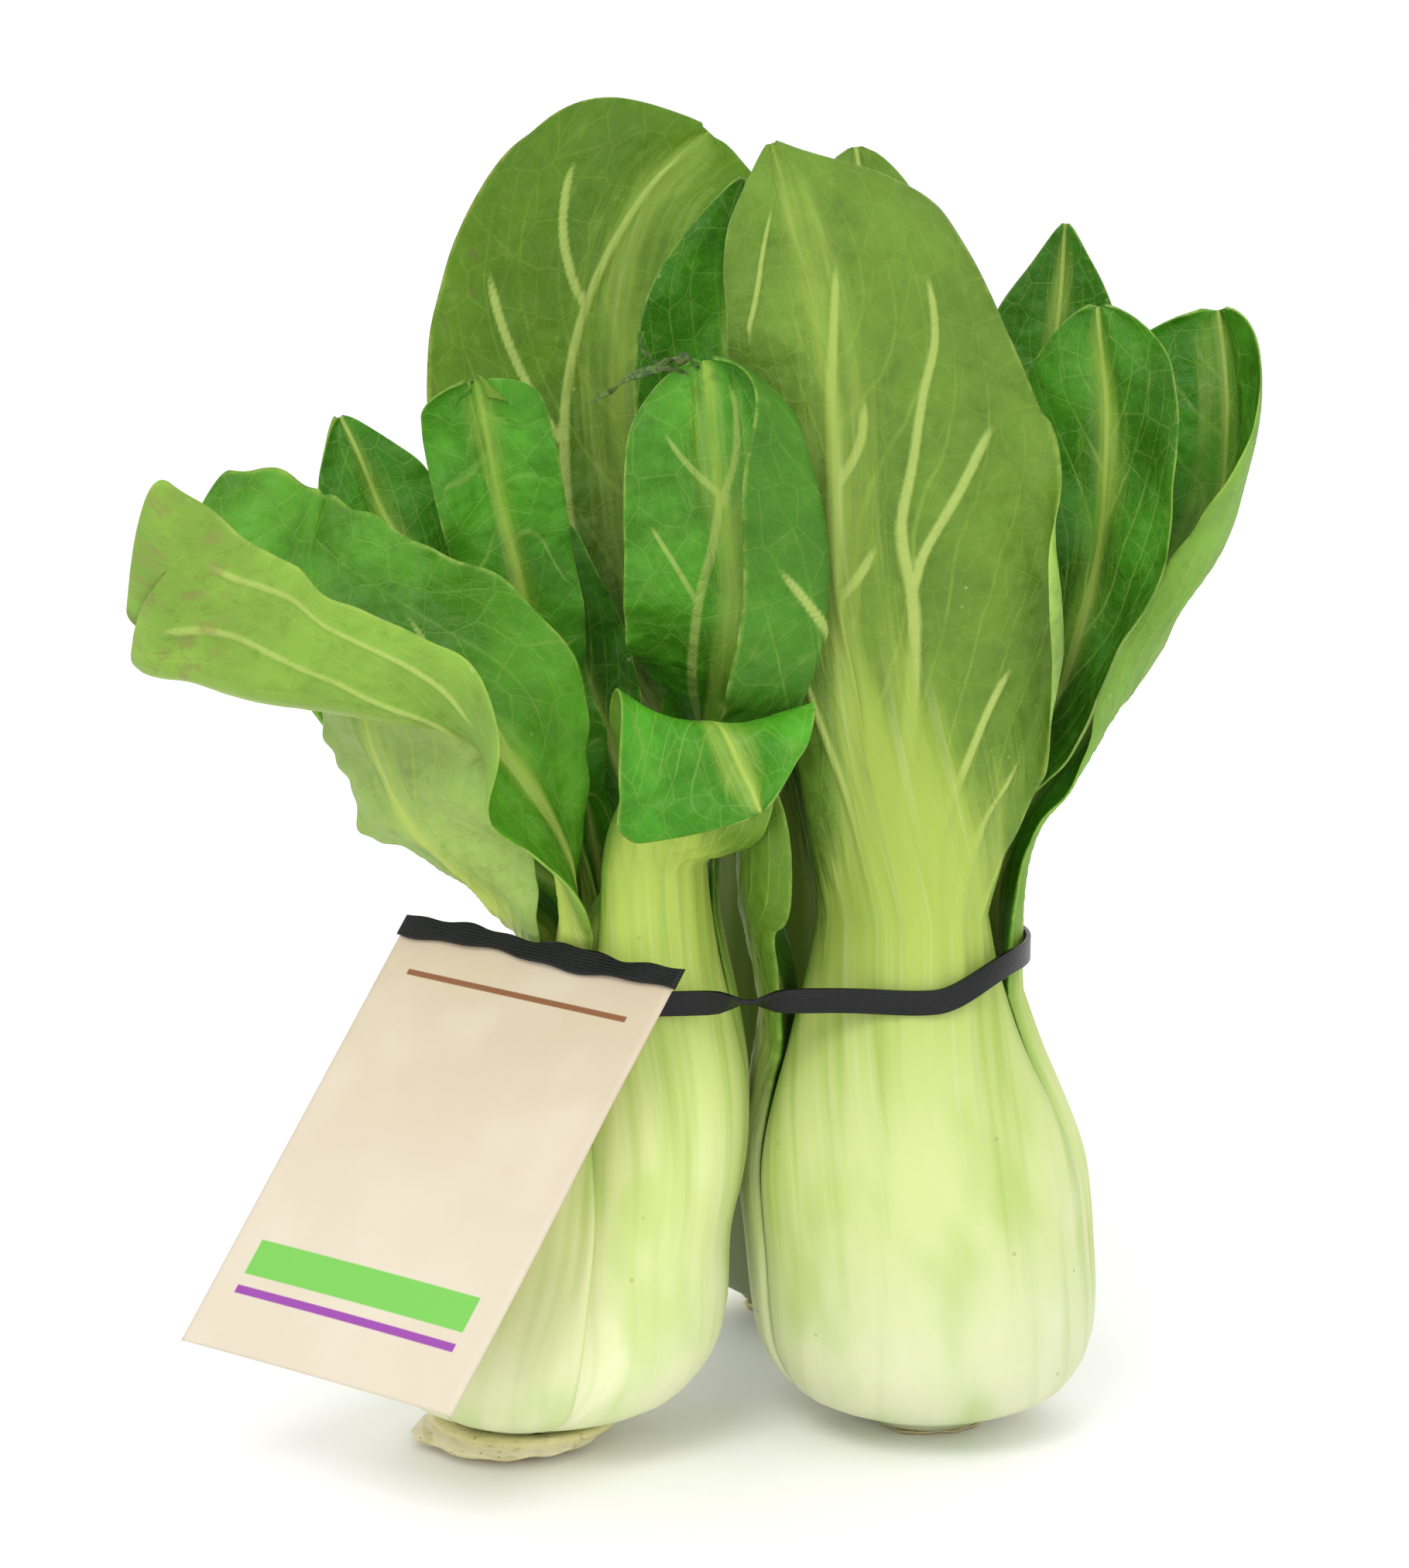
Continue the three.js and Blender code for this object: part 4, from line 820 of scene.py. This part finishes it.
# Band
def band_path(step):
    necks = []
    for head in HEADS.values():
        x, y = head_middle(head, NECK_HEIGHT)
        z = 72.5 - head["lift"]
        outside = float(head_radius(head, z)[0]) * (LAYER_SHARE[0] + STALK_THICKNESS / 2)
        necks.append((np.array([x, y]), outside + PIECE_GAP + BAND_THICKNESS / 2 + BAND_SLACK))
    path, last = [], None
    for a in np.arange(0, 360, step):
        out = facing(a + 195, 0)[:2]
        k = int(np.argmax([middle @ out + radius for middle, radius in necks]))
        point = necks[k][0] + out * necks[k][1]
        if last is not None and last[0] != k:
            path += [mix(last[1], point, share) for share in np.linspace(0, 1, 26)[1:-1]]
        path.append(point)
        last = (k, point)
    path = np.array(path)
    x, y = path[:, 0], path[:, 1]
    z = BAND_HEIGHT + 4 * ease(24, 38, x) + 1.2 * ease(10, 45, y) - 0.8 * np.exp(-(((x - 22) / 9) ** 2))
    return np.column_stack([path, z])


def rounded_section(width, thickness, rounding):
    points = []
    for k, (sx, sy) in enumerate(((1, 1), (-1, 1), (-1, -1), (1, -1))):
        for c in np.linspace(0, math.pi / 2, 4):
            angle = c + k * math.pi / 2
            points.append((sx * (width / 2 - rounding) + rounding * math.cos(angle),
                           sy * (thickness / 2 - rounding) + rounding * math.sin(angle)))
    return np.array(points)


def closed_sweep(path, twist, section):
    """Points, faces and places of a section that is swept round a closed path."""
    m, n = len(path), len(section)
    along = unit(np.roll(path, -1, axis=0) - np.roll(path, 1, axis=0))
    wide = unit(np.array([0, 0, 1.0]) - along * along[:, 2:3])
    thin = np.cross(wide, along)
    c, s = np.cos(twist)[:, None], np.sin(twist)[:, None]
    w, h = wide * c - thin * s, thin * c + wide * s
    points = path[:, None] + w[:, None] * section[None, :, :1] + h[:, None] * section[None, :, 1:]
    places = (section[None, :, 0], distances(path)[:, None], 0)
    place = np.stack([np.broadcast_to(p, (m, n)) for p in places], axis=-1)
    return points.reshape(-1, 3), grid_faces(m + 1, n, True) % (m * n), place.reshape(-1, 3)


def band_material(name):
    n = Nodes(name)
    across, along, _ = n.split(n.attribute("band_place").outputs["Vector"])
    rib = n.math("SINE", n.times(across, 12.0))
    weave = n.noise(n.join(n.times(across, 3.0), n.times(along, 0.8)), 1.6)
    tone = n.blend((0.0025, 0.0027, 0.003), (0.009, 0.0095, 0.010), n.ease(weave, 0.4, 0.75))
    height = n.math("MULTIPLY_ADD", rib, 0.25, weave)
    return n.finish(Base_Color=tone, Roughness=n.ease(weave, 0.3, 0.8, 0.28, 0.42),
                    Normal=n.bump(height, 0.00012, 0.7), Specular_IOR_Level=0.28)


path = band_path(1.5)
turned = TWIST_TURN * np.exp(-(((path[:, 0] - TWIST_PLACE) / TWIST_LENGTH) ** 2))
twist = np.where(path[:, 1] < 5, turned, 0)
section = rounded_section(BAND_WIDTH, BAND_THICKNESS, 0.18)
points, faces, place = closed_sweep(path, twist, section)
band = make_object("elastic_band_loop", points, faces, band_material("band_black"), {"band_place": place})
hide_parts("elastic_band")


# Withered tips of the folded upright leaf
def withered_material():
    n = Nodes("withered")
    place = n.attribute("dry_place").outputs["Vector"]
    grain = n.noise(place, 1.1, 4.0, 0.6)
    tone = n.blend((0.025, 0.065, 0.008), (0.10, 0.18, 0.025), n.ease(grain, 0.35, 0.7))
    tone = n.blend(tone, (0.09, 0.07, 0.02), n.ease(n.noise(place, 0.35, 2.0), 0.5, 0.7, 0.0, 0.6))
    return n.finish(Base_Color=tone, Roughness=0.7, Normal=n.bump(grain, 0.0004, 0.8))


def withered_strip(name, line, width, seed, material):
    """Crumpled strip of dry leaf along a line of points."""
    rng = np.random.default_rng(seed)
    line = np.asarray(line, float)
    share = np.linspace(0, 1, 60)
    places = distances(line)
    path = read_along(np.column_stack([places / places[-1], line]), share)
    for k in (5, 11, 23):
        reach = rng.uniform(-1, 1, 3) * 0.6 / k ** 0.5
        path = path + reach * np.sin(k * share + rng.uniform(0, 6))[:, None]
    angle = np.linspace(0, 2 * math.pi, 16, endpoint=False)
    along = unit(np.gradient(path, axis=0))
    wide = unit(np.cross(along, [0, 1.0, 0.2]))
    thin = np.cross(along, wide)
    turn = 2.5 * np.sin(4 * share + seed)[:, None]
    half = (width * np.sin(math.pi * (0.12 + 0.87 * share)) ** 0.7)[:, None] / 2
    crumple = 1 + 0.35 * np.sin(3 * angle[None, :] + 20 * share[:, None]) * np.sin(31 * share[:, None])
    a = half * np.cos(angle)[None, :] * crumple
    b = half * 0.32 * np.sin(angle)[None, :] * crumple
    a, b = a * np.cos(turn) - b * np.sin(turn), a * np.sin(turn) + b * np.cos(turn)
    points = path[:, None] + wide[:, None] * a[..., None] + thin[:, None] * b[..., None]
    m, n = points.shape[:2]
    faces = grid_faces(m, n, True).tolist()
    faces += [list(range(n))[::-1], [(m - 1) * n + k for k in range(n)]]
    place = points.reshape(-1, 3)
    piece = make_object(name, place, faces, material, {"dry_place": place})


WITHERED = [
    ("withered_tip_long", 1.5, [
        (-15, -16, 174.5), (-19, -18.2, 176.2), (-23.5, -19.5, 174.9), (-27.5, -20, 172.2),
        (-30.6, -20.6, 170.4),
    ]),
    ("withered_tip_short", 0.8, [
        (-18, -17, 175), (-21, -18.2, 177), (-22.4, -18.8, 179.5), (-21.9, -19, 182),
    ]),
    ("withered_tip_knot", 2.0, [
        (-13, -15.8, 175.8), (-16.5, -17, 177.2), (-19.5, -18, 176.4), (-21.5, -18.4, 175),
    ]),
]
dry = withered_material()
for number, (name, width, line) in enumerate(WITHERED):
    withered_strip(name, line, width, number + 3, dry)


# Card and the strip across its top
def soft_slab(name, right_ends, down_ends, out_ends, counts, rounding, material, shape, key, axes):
    """Thin slab with rounded edges in the card's frame; its places are kept as key, in the order of axes."""
    m, n = counts
    u, v = np.meshgrid(np.linspace(0, 1, n), np.linspace(0, 1, m))
    rim = np.minimum(np.minimum(u, 1 - u) * (right_ends[1] - right_ends[0]),
                     np.minimum(v, 1 - v) * (down_ends[1] - down_ends[0]))
    drop = rounding * (1 - np.sqrt(1 - np.clip(1 - rim / rounding, 0, 1) ** 2))
    a, b, lift = shape(mix(*right_ends, u), mix(*down_ends, v), u, v)
    base = CARD_CORNER + CARD_RIGHT * a[..., None] + CARD_DOWN * b[..., None]
    points, places = [], []
    for height, front in ((out_ends[1] - drop, 1), (out_ends[0] + drop, 0)):
        points.append((base + CARD_OUT * (height + lift)[..., None]).reshape(-1, 3))
        places.append(np.stack([a, b, np.full((m, n), front)], axis=-1).reshape(-1, 3)[:, axes])
    attributes = {key: np.concatenate(places)}
    return make_object(name, np.concatenate(points), sheet_faces(m, n), material, attributes)


# Plain stripes across the card's front: from, to, colour
CARD_STRIPES = [
    (8.5, 9.5, (0.22, 0.08, 0.02)),
    (58, 64, (0.16, 0.50, 0.07)),
    (66, 67.4, (0.27, 0.04, 0.33)),
]


def card_material():
    n = Nodes("card_cream")
    place = n.attribute("card_place").outputs["Vector"]
    across, down, front = n.split(place)
    fibre = n.noise(place, 2.2, 4.0)
    cloud = n.noise(place, 0.05, 2.0)
    tone = n.layers(
        (0.57, 0.475, 0.335),
        ((0.63, 0.555, 0.43), n.ease(down, 2.0, 60.0)),
        ((0.69, 0.62, 0.50), n.times(n.ease(cloud, 0.4, 0.7), 0.4)),
        ((0.60, 0.52, 0.40), n.times(n.ease(fibre, 0.55, 0.8), 0.15)),
    )
    near, far, soft = CARD_MARGIN, CARD_WIDTH - CARD_MARGIN, 0.1
    sides = n.times(n.ease(across, near - soft, near + soft), n.ease(across, far + soft, far - soft), front)
    for low, high, colour in CARD_STRIPES:
        inside = n.times(n.ease(down, low - 0.12, low + 0.12), n.ease(down, high + 0.12, high - 0.12), sides)
        tone = n.blend(tone, colour, inside)
    return n.finish(Base_Color=tone, Roughness=n.ease(fibre, 0.3, 0.7, 0.42, 0.55),
                    Normal=n.bump(fibre, 0.00005, 0.5))


def wavy(a, b, u, v):
    """The strip's edges wander a little, and it stands off the card here and there."""
    edge = 0.35 * np.sin(u * 17 + 0.6) + 0.22 * np.sin(u * 39 + 2.0)
    lower = 0.45 * np.sin(u * 11 + 1.0) + 0.2 * np.sin(u * 31)
    lift = 0.12 * (1 + np.sin(u * 23 + v * 2))
    return a, b + mix(edge, lower, v), lift * np.sin(np.pi * np.clip(u, 0, 1)) ** 0.3


def bowed(a, b, u, v):
    """The card bends very slightly, most at its lower edge."""
    corner = 0.35 * np.sin(5 * v + 1) * ease(0.1, 0.4, v) * u
    return a, b, 0.9 * np.sin(math.pi * u) * ease(0.12, 1, v) + corner


card = soft_slab("tag_card_sheet", (0, CARD_WIDTH), (0, CARD_HEIGHT), (0, CARD_THICKNESS), (116, 80), 0.2,
                 card_material(), bowed, "card_place", [0, 1, 2])
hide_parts("tag_card")
strip_out = (CARD_THICKNESS + PIECE_GAP, CARD_THICKNESS + PIECE_GAP + BAND_THICKNESS)
strip = soft_slab("tag_strip_band", (0, CARD_WIDTH + 1), (-0.6, CARD_STRIP - 0.6), strip_out, (24, 160), 0.25,
                  band_material("strip_black"), wavy, "band_place", [1, 0, 2])
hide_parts("tag_strip")


# Cut stems
def stem_profile(head):
    lift = head["lift"]
    profile = [(0, 0)]
    if lift > 2:
        profile += [(9.5, 0), (12.5, 1.4), (16, 4.2), (15.6, 5.1), (12.6, 5.0), (10.6, 4.0)]
    else:
        profile += [(9.6, 0), (10.2, lift + 0.4)]
    for layer, radius in enumerate(LAYER_ROOT):
        after = LAYER_FOOT[layer + 1] if layer < 3 else 20
        profile += [(radius - 1.4, LAYER_FOOT[layer] + lift - 0.3), (radius - 1.6, after + lift - 0.5)]
    profile.append((0, 23 + lift))
    return np.array(profile, float)


def stem_material(name):
    n = Nodes(name)
    place = n.attribute("stem_place").outputs["Vector"]
    x, y, z = n.split(place)
    radius = n.math("SQRT", n.plus(n.times(x, x), n.times(y, y)))
    grain = n.noise(place, 0.45, 5.0, 0.65)
    ring = n.math("SINE", n.plus(n.times(radius, 2.4), n.times(grain, 5.0)))
    rim = n.times(n.ease(z, 1.4, 0.0), n.ease(radius, 6.0, 9.5))
    tone = n.layers(
        (0.78, 0.74, 0.46),
        ((0.66, 0.60, 0.30), n.ease(ring, -0.2, 1.0)),
        ((0.42, 0.30, 0.12), n.times(n.ease(grain, 0.55, 0.75), 0.75)),
        ((0.40, 0.28, 0.11), n.times(rim, 0.7)),
        ((0.16, 0.10, 0.04), n.times(n.spots(place, 0.5, 0.16, 0.05), 0.7)),
    )
    return n.finish(Base_Color=tone, Roughness=n.ease(grain, 0.3, 0.7, 0.35, 0.55),
                    Normal=n.bump(grain, 0.0005, 0.6), Subsurface_Weight=0.3,
                    Subsurface_Radius=(0.8, 0.7, 0.3), Subsurface_Scale=0.004)


def stem(name, head, seed):
    rng = np.random.default_rng(seed)
    profile = stem_profile(head)
    fine = [profile[0]]
    for a, b in zip(profile, profile[1:]):
        steps = max(2, int(np.hypot(*(b - a)) / 0.7))
        fine += [mix(a, b, s) for s in np.linspace(0, 1, steps + 1)[1:]]
    fine = np.array(fine)
    n = 96
    angle = np.linspace(0, 2 * math.pi, n, endpoint=False)
    swell = sum(rng.uniform(0.1, 0.35) * np.sin(k * angle + rng.uniform(0, 6.28)) for k in (2, 3, 5, 8, 13))
    torn = 3.4 * np.clip(-np.cos(angle), 0, 1) ** 3 + 1.8 * np.clip(-np.sin(angle), 0, 1) ** 2
    torn = torn + 0.7 * np.sin(7 * angle + 1) * np.sin(3 * angle)
    points = []
    for r, z in fine[1:-1]:
        if r > 12 and z < head["lift"]:
            r = r + torn
            z = z + 0.25 * np.sin(4 * angle + r)
        low = 1 if np.max(z) < head["lift"] + 0.8 else 0.3
        if np.max(r) > 1:
            r = np.maximum(r - 0.6 + swell * low * np.minimum(r / 8, 1), 0.2)
        points.append(np.column_stack([r * np.cos(angle), r * np.sin(angle), np.full(n, 1.0) * z]))
    m = len(points)
    ring = np.concatenate(points)
    place = np.concatenate([ring, [[0, 0, 0], [0, 0, fine[-1][1]]]])
    x, y = head_middle(head, place[:, 2])
    points = place + np.column_stack([x, y, np.zeros(len(place))])
    faces = grid_faces(m, n, True).tolist()
    for k in range(n):
        faces.append([m * n, (k + 1) % n, k])
        faces.append([m * n + 1, (m - 1) * n + k, (m - 1) * n + (k + 1) % n])
    material = stem_material(name + "_stem")
    piece = make_object(name + "_stem_cut", points, faces, material, {"stem_place": place})
    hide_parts(name + "_stem")


for number, (name, head) in enumerate(HEADS.items()):
    stem(name, head, 300 + number)


# Floor, light and camera, in metres
FLOOR_HALF = 30.0
LIT_POINT = Vector((0, 0, 0.1))


def plain_floor():
    mesh = bpy.data.meshes.new("floor")
    corners = [(-1, -1), (1, -1), (1, 1), (-1, 1)]
    mesh.from_pydata([(x * FLOOR_HALF, y * FLOOR_HALF, 0) for x, y in corners], [], [(0, 1, 2, 3)])
    n = Nodes("floor_white")
    place = n.add("ShaderNodeTexCoord").outputs["Object"]
    grain = n.noise(place, 4.0, 2.0)
    tone = n.blend((0.955, 0.95, 0.96), (0.97, 0.965, 0.975), grain)
    mesh.materials.append(n.finish(Base_Color=tone, Roughness=0.8))
    floor = bpy.data.objects.new("floor", mesh)
    bpy.context.scene.collection.objects.link(floor)


def area_light(name, place, size, power):
    light = bpy.data.lights.new(name, "AREA")
    light.energy, light.size = power, size
    lamp = bpy.data.objects.new(name, light)
    lamp.location = place
    lamp.rotation_euler = (LIT_POINT - Vector(place)).to_track_quat("-Z", "Y").to_euler()
    bpy.context.scene.collection.objects.link(lamp)


plain_floor()
world = bpy.data.worlds.new("studio")
bpy.context.scene.world = world
world.use_nodes = True
background = world.node_tree.nodes["Background"].inputs
background["Color"].default_value = (1, 1, 1, 1)
background["Strength"].default_value = 1.05
area_light("key", (-0.4, -0.9, 1.15), 0.6, 6.0)
area_light("fill", (0.5, -1.1, 0.42), 0.8, 1.7)
area_light("back", (0.2, 1.0, 1.0), 0.8, 2.0)

camera = bpy.data.cameras.new("camera")
camera.lens, camera.sensor_width, camera.clip_start, camera.clip_end = 100, 36, 0.05, 100
camera_object = bpy.data.objects.new("camera", camera)
ELEVATION, DISTANCE = math.radians(11), 0.703
target = Vector(((-12.8 + SHIFT[0]) * MM, SHIFT[1] * MM, 0.107))
back = Vector((0, -math.cos(ELEVATION), math.sin(ELEVATION)))
camera_object.location = target + back * DISTANCE
camera_object.rotation_euler = (-back).to_track_quat("-Z", "Y").to_euler()
bpy.context.scene.collection.objects.link(camera_object)
bpy.context.scene.camera = camera_object
bpy.context.scene.view_settings.view_transform = "Standard"
